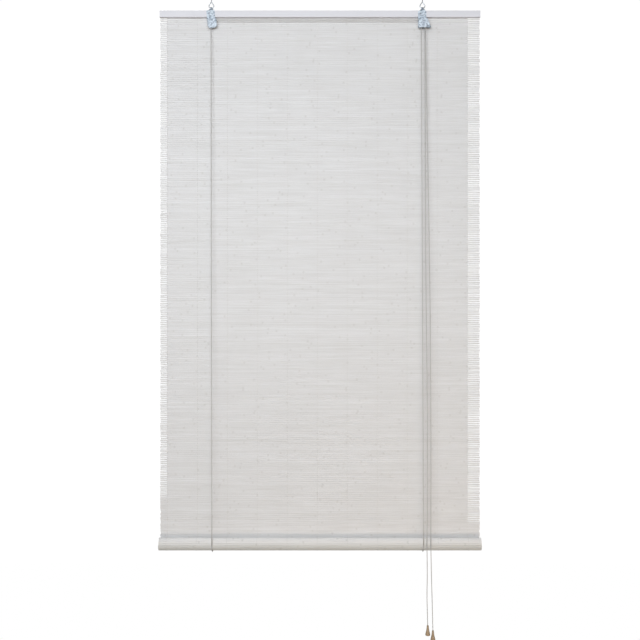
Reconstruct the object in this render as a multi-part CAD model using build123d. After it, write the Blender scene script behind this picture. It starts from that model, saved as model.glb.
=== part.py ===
from build123d import *
import os
from math import acos, atan2, cos, degrees, floor, hypot, radians, sin, sqrt, tan

# A bamboo roll-up blind, hanging from two screw eyes in a lintel. Millimetres, +Z up, +X to the viewer's
# right, and the viewer stands at -Y. The origin is on the lintel's underside, above the blind's middle.
# The flat screen's slats lie in the plane Y = 0. The batten, the brackets and the roll are in front of it.

# ---- Screen ----
SLAT_LENGTH = 900.0
SLAT_WIDTH = 5.4
SLAT_THICK = 1.3
SLAT_PITCH = 5.93
WARP_PITCH = 84.4
WARP_FIRST = 20.4  # from the slats' left ends to the first thread line
WARP_FRINGE = 20.0  # the least length of slat that stands free beyond the last thread line
WARP_WIDTH = 1.2
WARP_THICK = 0.5

# ---- Batten ----
BATTEN_TOP = -32.0
BATTEN_HEIGHT = 18.3
BATTEN_DEPTH = 10.0
BATTEN_EDGE = 0.8
SCREEN_TOP_GAP = 1.0  # the screen starts this far below the batten's top edge

# ---- Roll at the bottom ----
DROP = 1494.0  # from the batten's top edge to the roll's axis
ROLL_RADIUS = 18.3
TURN_PITCH = 1.9
HALF_TURNS = 6
ROD_PLAY = 0.15

# ---- Cords ----
CORD_DIAMETER = 2.2
CORD_CLEAR = 0.3
STRETCH_GAP = 0.1  # between two stretches of one cord that move differently
KNOT_RADIUS = 2.4

# ---- Staples ----
STAPLE_WIRE = 0.4
STAPLE_WIDTH = 1.2
STAPLE_BITE = 6.0
STAPLE_BESIDE = 12.0  # from a thread line to its staple
STAPLE_ROOM = 8.0  # the least distance from a staple to a bracket's screw or a lift cord

# ---- Brackets ----
SHEET = 1.0
LEFT_INSET = 151.4  # from the blind's left end to the left pulley's axis
LOCK_INSET = 160.0  # from the blind's right end to the lock pulley's axis
AXLE_BELOW_BATTEN = 15.7  # from the batten's lower edge to the pulleys' axes
LEFT_LEAN = 4.5  # degrees that the left bracket leans to its left
BEND_RADIUS = 0.5
SIDE_CLEAR = 0.4  # between a wheel and each cheek
PLATE_OVER_BATTEN = 1.0  # the left plate's upper edge is this far above the batten's, and the lock's below
HOUSING_ABOVE = 9.5  # from the pulleys' axes to the housings' upper edges
HOUSING_BELOW = 15.5  # and to their lower edges
LEFT_PLATE_SIDES = (-17.2, 5.6)  # the left plate's edges, from the left pulley's axis
LEFT_HOUSING_SIDES = (-16.6, 8.8)
LEFT_CORNER = 5.0
LOCK_LEFT = -15.0  # the lock's edges, from the lock pulley's axis
LOCK_UPPER_RIGHT = 8.0
LOCK_LOWER_RIGHT = 21.0
LOCK_CORNER = 2.0

# ---- Wheels and axles ----
CORD_TURN_RADIUS = 6.6  # from a pulley's axis to the centre of the cord on it
GROOVE_RISE = 0.7  # from the centre of the cord on a pulley to the pulley's rim
GROOVE_WEB = 0.3  # what stands between two grooves at their widest
GROOVE_WALL = 0.55  # and between a groove and the wheel's face
AXLE_DIAMETER = 3.0
RIVET_HEAD_DIAMETER = 5.6
RIVET_HEAD = 1.2
RUN_CLEAR = 0.05
ROLLER_RADIUS = 2.4
ROLLER_PIN_DIAMETER = 2.0
ROLLER_ANGLE = -39.4  # of the line from the lock pulley's axis to the roller's axis
PINCH_CLEAR = 0.2
KNURLS = 14
KNURL_RADIUS = 0.3
SLOT_CLEAR = 0.15
SLOT_TRAVEL = 5.0
SLOT_ANGLE = -67.4  # the way the roller drops, nearly along the lock's slanted side

# ---- Screws ----
SCREW_DIAMETER = 2.4
SCREW_LENGTH = 8.0
SCREW_HEAD_DIAMETER = 5.6
SCREW_HEAD = 1.7
RECESS_WIDTH = 0.8
RECESS_DEPTH = 0.8
HOLE_CLEAR = 0.3
PILOT_CLEAR = 0.05

# ---- Screw eyes and the hooks that hang on them ----
EYE_WIRE = 2.6
EYE_RADIUS = 6.6  # of the ring's centre line
EYE_APEX = 11.3  # from the ring's centre to where its legs meet
EYE_CENTRE = -18.0
THREAD_DIAMETER = 3.0
THREAD_START = -2.0
THREAD_LENGTH = 14.0
TIP_LENGTH = 3.0
HOOK_Y = -5.7  # above the blind's centre of mass, so that it hangs plumb
HOOK_WIDTH = 6.0
HOOK_TIP = 3.6
NECK_WIDTH = 15.0
LEFT_EYE_OFFSET = -6.4  # from each pulley's axis to the eye above it
LOCK_EYE_OFFSET = -2.2

# ---- Tassels ----
TASSEL_LENGTH = 28.0
TASSEL_RADIUS = 6.7
TASSEL_TOP_RADIUS = 2.7
TASSEL_BORE_RADIUS = 1.45
TASSEL_HOLLOW_RADIUS = 4.2
TASSEL_HOLLOW_DEPTH = 11.0
TASSEL_KNOT_RADIUS = 2.9

# Each pull cord's route, chosen by hand. The upper bends are (to the right of where it leaves the lock,
# share of the way down to the roll). The lower points are (right, down) from where it leaves the roll.
PULL_CORDS = {
    "a": {
        "upper": [(-1.0, 0.43), (5.9, 0.815)],
        "on_roll": 2.2,
        "lower": [(1.7, 84.0), (-0.4, 128.0), (2.3, 220.5)],
    },
    "b": {
        "upper": [(11.6, 0.43), (14.2, 0.815)],
        "on_roll": 13.0,
        "lower": [(2.0, 95.0), (3.6, 150.6), (5.8, 234.7)],
    },
}

# ---- Places worked out from the sizes above ----
cord_radius = CORD_DIAMETER / 2
left_end, right_end = -SLAT_LENGTH / 2, SLAT_LENGTH / 2
batten_bottom = BATTEN_TOP - BATTEN_HEIGHT
batten_back = -SLAT_THICK / 2 - WARP_THICK
batten_front = batten_back - BATTEN_DEPTH
plate_front = batten_front - SHEET
screen_top = BATTEN_TOP - SCREEN_TOP_GAP
roll_y = SLAT_THICK / 2 - ROLL_RADIUS
roll_z = BATTEN_TOP - DROP
rod_radius = ROLL_RADIUS - SLAT_THICK - HALF_TURNS * TURN_PITCH / 2 - ROD_PLAY
bight_radius = ROLL_RADIUS + WARP_THICK + CORD_CLEAR + cord_radius
cord_back_y = roll_y + bight_radius
axle_z = batten_bottom - AXLE_BELOW_BATTEN
left_x, lock_x = left_end + LEFT_INSET, right_end - LOCK_INSET
pulley_radius = CORD_TURN_RADIUS + GROOVE_RISE
groove_edge = cord_radius + CORD_CLEAR + GROOVE_WALL
rear_groove_y = plate_front - SIDE_CLEAR - groove_edge
front_groove_y = rear_groove_y - 2 * (cord_radius + CORD_CLEAR) - GROOVE_WEB
left_cheek = rear_groove_y - groove_edge - SIDE_CLEAR
lock_cheek = front_groove_y - groove_edge - SIDE_CLEAR
roller_turn_radius = ROLLER_RADIUS + PINCH_CLEAR + cord_radius
roller_x = lock_x + (CORD_TURN_RADIUS + roller_turn_radius) * cos(radians(ROLLER_ANGLE))
roller_z = axle_z + (CORD_TURN_RADIUS + roller_turn_radius) * sin(radians(ROLLER_ANGLE))
housing_bottom = axle_z - HOUSING_BELOW
housing_top = axle_z + HOUSING_ABOVE
cord_exit_x, cord_exit_z = roller_x - roller_turn_radius, housing_bottom - 4
hook_z = EYE_CENTRE - EYE_RADIUS
slat_count = floor((screen_top - roll_z) / SLAT_PITCH)
warp_xs = [
    left_end + WARP_FIRST + i * WARP_PITCH
    for i in range(floor((SLAT_LENGTH - WARP_FIRST - WARP_FRINGE) / WARP_PITCH) + 1)
]
# the cords lie between two thread lines, a little beside the pulleys that they rise to
cord_xs = {"left": left_x - 1.4, "right": lock_x - 3.0}


# ---- Shared shapes ----
def block(x, y, z):
    """A box between two values along each axis."""
    middle = Pos((x[0] + x[1]) / 2, (y[0] + y[1]) / 2, (z[0] + z[1]) / 2)
    return middle * Box(x[1] - x[0], y[1] - y[0], z[1] - z[0])


def round_bar(x, z, radius, y):
    """A cylinder along Y between two depths."""
    return Pos(x, (y[0] + y[1]) / 2, z) * Rot(90, 0, 0) * Cylinder(radius, y[1] - y[0])


def plate(outline, y):
    """A flat outline, given as (x, z) points, made solid between two depths."""
    face = make_face(Polyline([(px, y[0], pz) for px, pz in outline], close=True))
    return extrude(face, amount=y[1] - y[0], dir=(0, 1, 0))


def slot(start, end, radius, y):
    """A round-ended slot between two (x, z) centres."""
    dx, dz = end[0] - start[0], end[1] - start[1]
    nx, nz = -dz / hypot(dx, dz) * radius, dx / hypot(dx, dz) * radius
    sides = [(start[0] + nx, start[1] + nz), (end[0] + nx, end[1] + nz)]
    sides += [(end[0] - nx, end[1] - nz), (start[0] - nx, start[1] - nz)]
    return round_bar(*start, radius, y) + plate(sides, y) + round_bar(*end, radius, y)


def tube(path):
    """A cord's tube along a path."""
    start = Plane(origin=path @ 0, z_dir=path % 0)
    return sweep(sections=start * Circle(cord_radius), path=path)


def bent_tube(name, points):
    """A cord's tube of straight runs joined by tangent arcs, each as large as its two runs allow."""
    runs = [Vector(b) - Vector(a) for a, b in zip(points, points[1:])]
    radii = []
    for before, after in zip(runs, runs[1:]):
        half_turn = radians(before.get_angle(after)) / 2
        radii.append(0.45 * min(before.length, after.length) / tan(half_turn))
    print(name, "arc radii", [round(r) for r in radii])
    return tube(FilletPolyline(*points, radius=radii))


def on_circle(centre, radius, angle, y):
    """The point at an angle on a circle that faces the viewer."""
    return (centre[0] + radius * cos(radians(angle)), y, centre[1] + radius * sin(radians(angle)))


def facing_arc(centre, radius, start, end, y):
    """An arc, facing the viewer, from one angle to another about an (x, z) centre."""
    angles = (start, (start + end) / 2, end)
    return ThreePointArc(*(on_circle(centre, radius, a, y) for a in angles))


# ---- Screen and roll ----
def slat_z(i):
    """A slat's upper edge."""
    return screen_top - i * SLAT_PITCH


def gap_middle(i):
    """The middle of the gap under a slat."""
    return slat_z(i) - (SLAT_WIDTH + SLAT_PITCH) / 2


def screen_slats():
    half = SLAT_THICK / 2
    return [
        block((left_end, right_end), (-half, half), (slat_z(i) - SLAT_WIDTH, slat_z(i)))
        for i in range(slat_count)
    ]


def warp_threads():
    """On each line one strand runs down the screen's front and one down its back."""
    half, low = SLAT_THICK / 2, slat_z(slat_count - 1) - SLAT_WIDTH
    strands = []
    for x in warp_xs:
        across = (x - WARP_WIDTH / 2, x + WARP_WIDTH / 2)
        strands.append(block(across, (-half - WARP_THICK, -half), (low, screen_top)))
        strands.append(block(across, (half, half + WARP_THICK), (low, screen_top)))
    return strands


def rolled_screen():
    """The wound end of the screen: it comes down the roll's back, goes under it and spirals inwards.

    Half circles about two centres in turn make the spiral, so its radius drops smoothly.
    """
    step = TURN_PITCH / 2
    middle = ROLL_RADIUS - SLAT_THICK / 2 - step / 2
    outer, inner = [], []
    for i in range(HALF_TURNS):
        side = 1 if i % 2 == 0 else -1
        centre_y, mid_radius = roll_y + side * step / 2, middle - i * step
        for radius, edges in ((mid_radius + SLAT_THICK / 2, outer), (mid_radius - SLAT_THICK / 2, inner)):
            start, end = centre_y + side * radius, centre_y - side * radius
            edges.append(ThreePointArc((start, roll_z), (centre_y, roll_z - side * radius), (end, roll_z)))
    ends = [Line(outer[0] @ 0, inner[0] @ 0), Line(outer[-1] @ 1, inner[-1] @ 1)]
    section = Plane.YZ * make_face(outer + inner + ends)
    return extrude(section, amount=SLAT_LENGTH / 2, dir=(1, 0, 0), both=True)


def bottom_rod():
    return Pos(0, roll_y, roll_z) * Rot(0, 90, 0) * Cylinder(rod_radius, SLAT_LENGTH)


# ---- Batten, screws and staples ----
def leaned(x, z):
    """A place on the left bracket once it leans about the left pulley's axis."""
    turn = radians(LEFT_LEAN)
    return (left_x + x * cos(turn) - z * sin(turn), axle_z + x * sin(turn) + z * cos(turn))


left_screw_places = [leaned(-9.2, 27.0), leaned(2.6, 21.0)]
lock_screw_places = [(lock_x - 9.5, axle_z + 24.5), (lock_x + 2.8, axle_z + 20.2)]


def bracket_screw(x, z):
    """A cross-head wood screw, driven into the batten's front."""
    under_head = plate_front
    head = round_bar(x, z, SCREW_HEAD_DIAMETER / 2, (under_head - SCREW_HEAD, under_head))
    rim = head.edges().filter_by(GeomType.CIRCLE).sort_by(Axis.Y)[0]
    head = fillet(rim, SCREW_HEAD * 0.7)
    depth = (under_head - SCREW_HEAD, under_head - SCREW_HEAD + RECESS_DEPTH)
    arm, thin = SCREW_HEAD_DIAMETER * 0.27, RECESS_WIDTH / 2
    head -= block((x - arm, x + arm), depth, (z - thin, z + thin))
    head -= block((x - thin, x + thin), depth, (z - arm, z + arm))
    plain = SCREW_LENGTH - SCREW_DIAMETER
    shank = round_bar(x, z, SCREW_DIAMETER / 2, (under_head, under_head + plain))
    tip = Pos(x, under_head + plain + SCREW_DIAMETER / 2, z) * Rot(-90, 0, 0)
    return head + shank + tip * Cone(SCREW_DIAMETER / 2, 0.3, SCREW_DIAMETER)


def bracket_screws():
    return [bracket_screw(x, z) for x, z in left_screw_places + lock_screw_places]


def screen_staple(x):
    """A staple that straddles the second slat and holds the screen against the batten."""
    half, wide = STAPLE_WIRE / 2, (x - STAPLE_WIDTH / 2, x + STAPLE_WIDTH / 2)
    upper, lower = gap_middle(0), gap_middle(1)
    legs = (batten_back - STAPLE_BITE, SLAT_THICK / 2)
    crown = block(wide, (SLAT_THICK / 2, SLAT_THICK / 2 + STAPLE_WIRE), (lower - half, upper + half))
    for z in (lower, upper):
        crown += block(wide, legs, (z - half, z + half))
    return crown


def screen_staples():
    """One beside each thread line, on its right unless a screw or a lift cord is there."""
    taken = [x for x, _ in left_screw_places + lock_screw_places] + list(cord_xs.values())
    staples = []
    for x in warp_xs:
        clear = all(abs(x + STAPLE_BESIDE - other) > STAPLE_ROOM for other in taken)
        staples.append(screen_staple(x + (STAPLE_BESIDE if clear else -STAPLE_BESIDE)))
    return staples


def cord_staple(x):
    """A staple across a lift cord at the back of the batten, through the gap under the first slat."""
    half, z = STAPLE_WIRE / 2, gap_middle(0)
    inside = cord_radius + CORD_CLEAR
    outside = inside + STAPLE_WIDTH / 2
    crown_y = cord_back_y + cord_radius + CORD_CLEAR
    height = (z - half, z + half)
    staple = block((x - outside, x + outside), (crown_y, crown_y + STAPLE_WIRE), height)
    for side in (-1, 1):
        leg = sorted((x + side * inside, x + side * outside))
        staple += block(leg, (batten_back - STAPLE_BITE, crown_y), height)
    return staple


def cord_staples():
    return [cord_staple(x) for x in cord_xs.values()]


def head_batten():
    batten = block((left_end, right_end), (batten_front, batten_back), (batten_bottom, BATTEN_TOP))
    batten = fillet(batten.edges().filter_by(Axis.X), BATTEN_EDGE)
    pilot = plate_front + SCREW_LENGTH + HOLE_CLEAR
    for x, z in left_screw_places + lock_screw_places:
        batten -= round_bar(x, z, SCREW_DIAMETER / 2 + PILOT_CLEAR, (batten_front - 1, pilot))
    for staple in screen_staples() + cord_staples():
        batten -= staple
    return batten


# ---- Brackets ----
def hook_inner_radius():
    """The hook clears the eye's curved wire at both of its own edges."""
    rise = EYE_RADIUS - sqrt(EYE_RADIUS**2 - (HOOK_WIDTH / 2) ** 2)
    return EYE_WIRE / 2 + rise + CORD_CLEAR


def neck_and_hook(x):
    """The strip that goes up from a bracket's plate, back over the batten and down through the eye."""
    bend = hook_inner_radius() + SHEET / 2
    plate_y, front_y, back_y = batten_front - SHEET / 2, HOOK_Y - bend, HOOK_Y + bend
    low = BATTEN_TOP - 4
    crank = [(plate_y, low), (plate_y, BATTEN_TOP + 1.2), (front_y, hook_z - 1.5), (front_y, hook_z)]
    path = FilletPolyline(*crank, radius=1.2)
    path += ThreePointArc((front_y, hook_z), (HOOK_Y, hook_z + bend), (back_y, hook_z))
    path += Line((back_y, hook_z), (back_y, hook_z - HOOK_TIP))
    wide, thin = NECK_WIDTH / 2, HOOK_WIDTH / 2
    strip = extrude(Plane.YZ * trace(path, line_width=SHEET), amount=wide, dir=(1, 0, 0), both=True)
    outline = [(x - wide, low - 1), (x - wide, BATTEN_TOP + 1), (x - thin, hook_z - 2)]
    outline += [(x - thin, hook_z + 2 * bend), (x + thin, hook_z + 2 * bend)]
    outline += [(x + thin, hook_z - 2), (x + wide, BATTEN_TOP + 1), (x + wide, low - 1)]
    tip = block((x - thin, x + thin), (HOOK_Y, HOOK_Y + 2 * bend), (hook_z - 2 * bend, hook_z + 2 * bend))
    return (Pos(x, 0, 0) * strip) & (plate(outline, (plate_front - 1, HOOK_Y)) + tip)


def folded_housing(outline, cavity, cheek, fold):
    """Two cheeks and one side, folded from one sheet: a solid outline less the space inside it.

    The fold is the outer side's line, as two (x, z) points, and the sheet bends along it.
    """
    housing = plate(outline, (cheek - SHEET, batten_front)) - plate(cavity, (cheek, plate_front))
    (ax, az), (bx, bz) = fold
    along = Vector(bx - ax, 0, bz - az).normalized()

    def bends(inset):
        """The housing's edges that run along the fold, this far inside it."""
        found = []
        for edge in housing.edges().filter_by(GeomType.LINE):
            middle = edge @ 0.5
            off = abs((middle.X - ax) * along.Z - (middle.Z - az) * along.X)
            if abs((edge % 0.5).dot(along)) > 0.999 and abs(off - inset) < 0.01:
                found.append(edge)
        return found

    housing = fillet(bends(0), BEND_RADIUS + SHEET)
    return fillet(bends(SHEET), BEND_RADIUS)


def pulley_bracket():
    """The left bracket: a flat plate on the batten, and under it a housing that is open to the right."""
    left, right = LEFT_PLATE_SIDES
    plate_top, plate_low = BATTEN_TOP + PLATE_OVER_BATTEN - axle_z, HOUSING_ABOVE - BEND_RADIUS
    upper = [(left, plate_low), (left, plate_top), (right, plate_top), (right, plate_low)]
    top, low, corner = HOUSING_ABOVE, -HOUSING_BELOW, LEFT_CORNER
    outer, inner = LEFT_HOUSING_SIDES
    lower = [(outer, top), (inner, top), (inner, low + corner), (inner - corner, low)]
    lower += [(outer + corner, low), (outer, low + corner)]
    space = [(outer + SHEET, top + 9), (inner + 9, top + 9), (inner + 9, low - 9), (outer + SHEET, low - 9)]
    fold = (leaned(outer, top), leaned(outer, low))
    housing = folded_housing([leaned(*p) for p in lower], [leaned(*p) for p in space], left_cheek, fold)
    bracket = housing + plate([leaned(*p) for p in upper], (plate_front, batten_front))
    bracket += neck_and_hook(left_x + LEFT_EYE_OFFSET)
    bracket -= round_bar(left_x, axle_z, AXLE_DIAMETER / 2 + RUN_CLEAR, (left_cheek - 9, batten_front + 1))
    for x, z in left_screw_places:
        bracket -= round_bar(x, z, SCREW_DIAMETER / 2 + HOLE_CLEAR, (plate_front - 1, batten_front + 1))
    return bracket


def lock_bracket():
    """The right bracket: a plate that widens into a slanted housing, with a slot for the roller's pin."""
    left, upper_right = lock_x + LOCK_LEFT, lock_x + LOCK_UPPER_RIGHT
    lower_right = lock_x + LOCK_LOWER_RIGHT
    top, shoulder, corner = BATTEN_TOP - PLATE_OVER_BATTEN, batten_bottom - SHEET, LOCK_CORNER
    upper = [(left, top - corner), (left + corner, top), (upper_right - corner, top)]
    upper += [(upper_right, top - corner), (upper_right, shoulder)]
    slope = (lower_right - upper_right) / (shoulder - housing_bottom)

    def slanted(z, inset=0.0):
        """The slanted side's place at a height."""
        return (upper_right + slope * (shoulder - z) - inset * hypot(1, slope), z)

    upper += [slanted(housing_top - BEND_RADIUS), (left, housing_top - BEND_RADIUS)]
    lower = [(left, housing_top), slanted(housing_top), slanted(housing_bottom + corner)]
    lower += [(lower_right - corner, housing_bottom), (left + corner, housing_bottom)]
    lower += [(left, housing_bottom + corner)]
    space = [slanted(housing_top + 9, SHEET), slanted(housing_bottom - 9, SHEET)]
    space += [(left - 9, housing_bottom - 9), (left - 9, housing_top + 9)]
    fold = (slanted(housing_top), slanted(housing_bottom))
    housing = folded_housing(lower, space, lock_cheek, fold)
    bracket = housing + plate(upper, (plate_front, batten_front)) + neck_and_hook(lock_x + LOCK_EYE_OFFSET)
    through = (lock_cheek - 9, batten_front + 1)
    bracket -= round_bar(lock_x, axle_z, AXLE_DIAMETER / 2 + RUN_CLEAR, through)
    low, _, lowest = on_circle((roller_x, roller_z), SLOT_TRAVEL, SLOT_ANGLE, 0)
    bracket -= slot((roller_x, roller_z), (low, lowest), ROLLER_PIN_DIAMETER / 2 + SLOT_CLEAR, through)
    for x, z in lock_screw_places:
        bracket -= round_bar(x, z, SCREW_DIAMETER / 2 + HOLE_CLEAR, (plate_front - 1, batten_front + 1))
    return bracket


# ---- Wheels, axles and the lock's roller ----
def wheel(x, grooves):
    """A grooved wheel, with one groove for each cord."""
    back, front = grooves[0] + groove_edge, grooves[-1] - groove_edge
    body = round_bar(x, axle_z, pulley_radius, (front, back))
    body -= round_bar(x, axle_z, AXLE_DIAMETER / 2 + RUN_CLEAR, (front - 1, back + 1))
    for y in grooves:
        body -= Pos(x, y, axle_z) * Rot(90, 0, 0) * Torus(CORD_TURN_RADIUS, cord_radius + CORD_CLEAR)
    return body


def axle(x, z, diameter, head_diameter, head, clear, cheek):
    """A pin through both cheeks, headed over outside them."""
    rear, front = batten_front + clear, cheek - SHEET - clear
    bar = round_bar(x, z, diameter / 2, (front, rear))
    front_head = round_bar(x, z, head_diameter / 2, (front - head, front))
    rim = front_head.edges().filter_by(GeomType.CIRCLE).sort_by(Axis.Y)[0]
    return bar + fillet(rim, head * 0.7) + round_bar(x, z, head_diameter / 2, (rear, rear + head * 0.7))


def lock_roller():
    """The knurled roller that pinches the cords against the lock's pulley."""
    face = SIDE_CLEAR + 0.3
    span = (lock_cheek + face, plate_front - face)
    roller = round_bar(roller_x, roller_z, ROLLER_RADIUS, span)
    roller -= round_bar(roller_x, roller_z, ROLLER_PIN_DIAMETER / 2 + RUN_CLEAR, (span[0] - 1, span[1] + 1))
    for i in range(KNURLS):
        x, _, z = on_circle((roller_x, roller_z), ROLLER_RADIUS, 360 * i / KNURLS, 0)
        roller -= round_bar(x, z, KNURL_RADIUS, (span[0] - 1, span[1] + 1))
    return roller


# ---- Screw eyes ----
def screw_eye(x):
    """A wire ring that faces the viewer, with its threaded shank standing up into the lintel."""
    wire = EYE_WIRE / 2
    lean = degrees(acos(EYE_RADIUS / EYE_APEX))
    left, right = 90 + lean, 90 - lean
    ring = facing_arc((x, EYE_CENTRE), EYE_RADIUS, left, 360 + right, HOOK_Y)
    start = Plane(origin=ring @ 0, z_dir=ring % 0)
    eye = sweep(sections=start * Circle(wire), path=ring)
    apex = Vector(x, HOOK_Y, EYE_CENTRE + EYE_APEX)
    for angle in (left, right):
        foot = Vector(*on_circle((x, EYE_CENTRE), EYE_RADIUS, angle, HOOK_Y))
        leg = apex - foot
        eye += Plane(origin=(foot + apex) / 2, z_dir=leg) * Cylinder(wire, leg.length)
    low = EYE_CENTRE + EYE_APEX - wire
    eye += Pos(x, HOOK_Y, (low + THREAD_START) / 2) * Cylinder(wire, THREAD_START - low)
    thread = THREAD_DIAMETER / 2
    eye += Pos(x, HOOK_Y, THREAD_START + THREAD_LENGTH / 2) * Cylinder(thread, THREAD_LENGTH)
    tip = Pos(x, HOOK_Y, THREAD_START + THREAD_LENGTH + TIP_LENGTH / 2)
    return eye + tip * Cone(thread, 0.3, TIP_LENGTH)


# ---- Lift cords ----
def lift_cord_knots():
    """The stopped end of each lift cord, above its staple at the batten's back."""
    y, cut = SLAT_THICK / 2 + CORD_CLEAR + KNOT_RADIUS, KNOT_RADIUS * 0.75
    z = cord_top + cut
    knots = []
    for x in cord_xs.values():
        reach = (y - 2 * KNOT_RADIUS, y + 2 * KNOT_RADIUS)
        below = block((x - 9, x + 9), reach, (cord_top - 9, cord_top))
        knots.append(Pos(x, y, z) * Sphere(KNOT_RADIUS) - below)
    return knots


cord_top = gap_middle(0) + 2.5
grooves = {"left": rear_groove_y, "right": front_groove_y}
pulley_xs = {"left": left_x, "right": lock_x}


def roll_contact(side):
    """Where the front stretch leaves the roll: the angle about its axis, from +Y, and the (y, z) there."""
    dy, dz = grooves[side] - roll_y, axle_z - roll_z
    angle = atan2(dz, dy) + acos(bight_radius / hypot(dy, dz))
    return angle, roll_y + bight_radius * cos(angle), roll_z + bight_radius * sin(angle)


def lift_cord_back(side):
    low, high = roll_z + STRETCH_GAP, cord_top
    return Pos(cord_xs[side], cord_back_y, (low + high) / 2) * Cylinder(cord_radius, high - low)


def lift_cord_bight(side):
    """The loop that carries the roll: down from the back, under the roll and up its front."""
    angle, y, z = roll_contact(side)
    x = cord_xs[side]
    low = (x, roll_y, roll_z - bight_radius)
    return tube(ThreePointArc((x, cord_back_y, roll_z), low, (x, y, z)))


def lift_cord_front(side):
    _, y, z = roll_contact(side)
    foot = Vector(cord_xs[side], y, z)
    head = Vector(pulley_xs[side] - CORD_TURN_RADIUS, grooves[side], axle_z)
    run = head - foot
    length = run.length - 2 * STRETCH_GAP
    return Plane(origin=(foot + head) / 2, z_dir=run) * Cylinder(cord_radius, length)


def through_the_lock(y, start):
    """The way over the lock's pulley, past the roller and down out of the housing."""
    over = facing_arc((lock_x, axle_z), CORD_TURN_RADIUS, start, ROLLER_ANGLE, y)
    past = facing_arc((roller_x, roller_z), roller_turn_radius, 180 + ROLLER_ANGLE, 180, y)
    down = Line((cord_exit_x, y, roller_z), (cord_exit_x, y, cord_exit_z))
    return [over, past, down]


def left_lift_cord_cross():
    """The left cord goes over its pulley, across to the lock and down through it."""
    y = rear_groove_y
    over = facing_arc((left_x, axle_z), CORD_TURN_RADIUS, 180, 90, y)
    across = Line((left_x, y, axle_z + CORD_TURN_RADIUS), (lock_x, y, axle_z + CORD_TURN_RADIUS))
    return tube(Wire([over, across] + through_the_lock(y, 90)))


def right_lift_cord_lock():
    return tube(Wire(through_the_lock(front_groove_y, 180)))


# ---- Pull cords and tassels ----
pull_ys = {"a": rear_groove_y, "b": front_groove_y}
pull_front_y = roll_y - bight_radius


def roll_point(name):
    """Where a pull cord leaves the roll's front."""
    return Vector(cord_exit_x + PULL_CORDS[name]["on_roll"], pull_front_y, roll_z)


def pull_cord_upper(name):
    """The stretch that runs down from the lock and leans on the roll's front."""
    start, end = Vector(cord_exit_x, pull_ys[name], cord_exit_z - STRETCH_GAP), roll_point(name)
    bends = [
        (cord_exit_x + dx, start.Y + share * (end.Y - start.Y), start.Z + share * (end.Z - start.Z))
        for dx, share in PULL_CORDS[name]["upper"]
    ]
    return bent_tube("pull_cord_%s_upper" % name, [tuple(start), *bends, tuple(end)])


def tassel_top(name):
    dx, down = PULL_CORDS[name]["lower"][-1]
    foot = roll_point(name)
    return Vector(foot.X + dx, foot.Y, foot.Z - down)


def pull_cord(name):
    """The free stretch below the roll, which ends on the knot inside its tassel."""
    foot = roll_point(name) - Vector(0, 0, STRETCH_GAP)
    points = [tuple(foot)] + [(foot.X + dx, foot.Y, foot.Z - down) for dx, down in PULL_CORDS[name]["lower"]]
    hanging = bent_tube("pull_cord_" + name, points)
    top = tassel_top(name) - Vector(0, 0, STRETCH_GAP)
    end = knot_z(name) + TASSEL_KNOT_RADIUS * 0.7
    return hanging + Pos(top.X, top.Y, (top.Z + end) / 2) * Cylinder(cord_radius, top.Z - end)


def knot_z(name):
    ceiling = tassel_top(name).Z - TASSEL_LENGTH + TASSEL_HOLLOW_DEPTH
    return ceiling - TASSEL_KNOT_RADIUS


def tassel_knot(name):
    top = tassel_top(name)
    knot = Pos(top.X, top.Y, knot_z(name)) * Sphere(TASSEL_KNOT_RADIUS)
    cut = knot_z(name) + TASSEL_KNOT_RADIUS * 0.7 - STRETCH_GAP
    return knot - block((top.X - 9, top.X + 9), (top.Y - 9, top.Y + 9), (cut, cut + 9))


def tassel(name):
    """A turned wooden bell, bored for the cord and hollowed from below for the knot."""
    top = tassel_top(name)
    length, low = TASSEL_LENGTH, -TASSEL_LENGTH
    flare = Spline(
        (TASSEL_TOP_RADIUS, -0.8),
        (TASSEL_TOP_RADIUS * 1.12, low * 0.22),
        (TASSEL_RADIUS * 0.66, low * 0.55),
        (TASSEL_RADIUS * 0.93, low * 0.82),
        (TASSEL_RADIUS, low + 1.5),
    )
    rim = Polyline((TASSEL_RADIUS, low + 1.5), (TASSEL_RADIUS - 0.7, low), (0, low), (0, 0))
    crown = Polyline((0, 0), (TASSEL_TOP_RADIUS - 0.8, 0), (TASSEL_TOP_RADIUS, -0.8))
    bell = revolve(Plane.XZ * make_face([flare, rim, crown]), Axis.Z)
    bell -= Pos(0, 0, -length / 2) * Cylinder(TASSEL_BORE_RADIUS, length + 2)
    bell -= Pos(0, 0, low + TASSEL_HOLLOW_DEPTH / 2) * Cylinder(TASSEL_HOLLOW_RADIUS, TASSEL_HOLLOW_DEPTH)
    return Pos(*top) * bell


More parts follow.
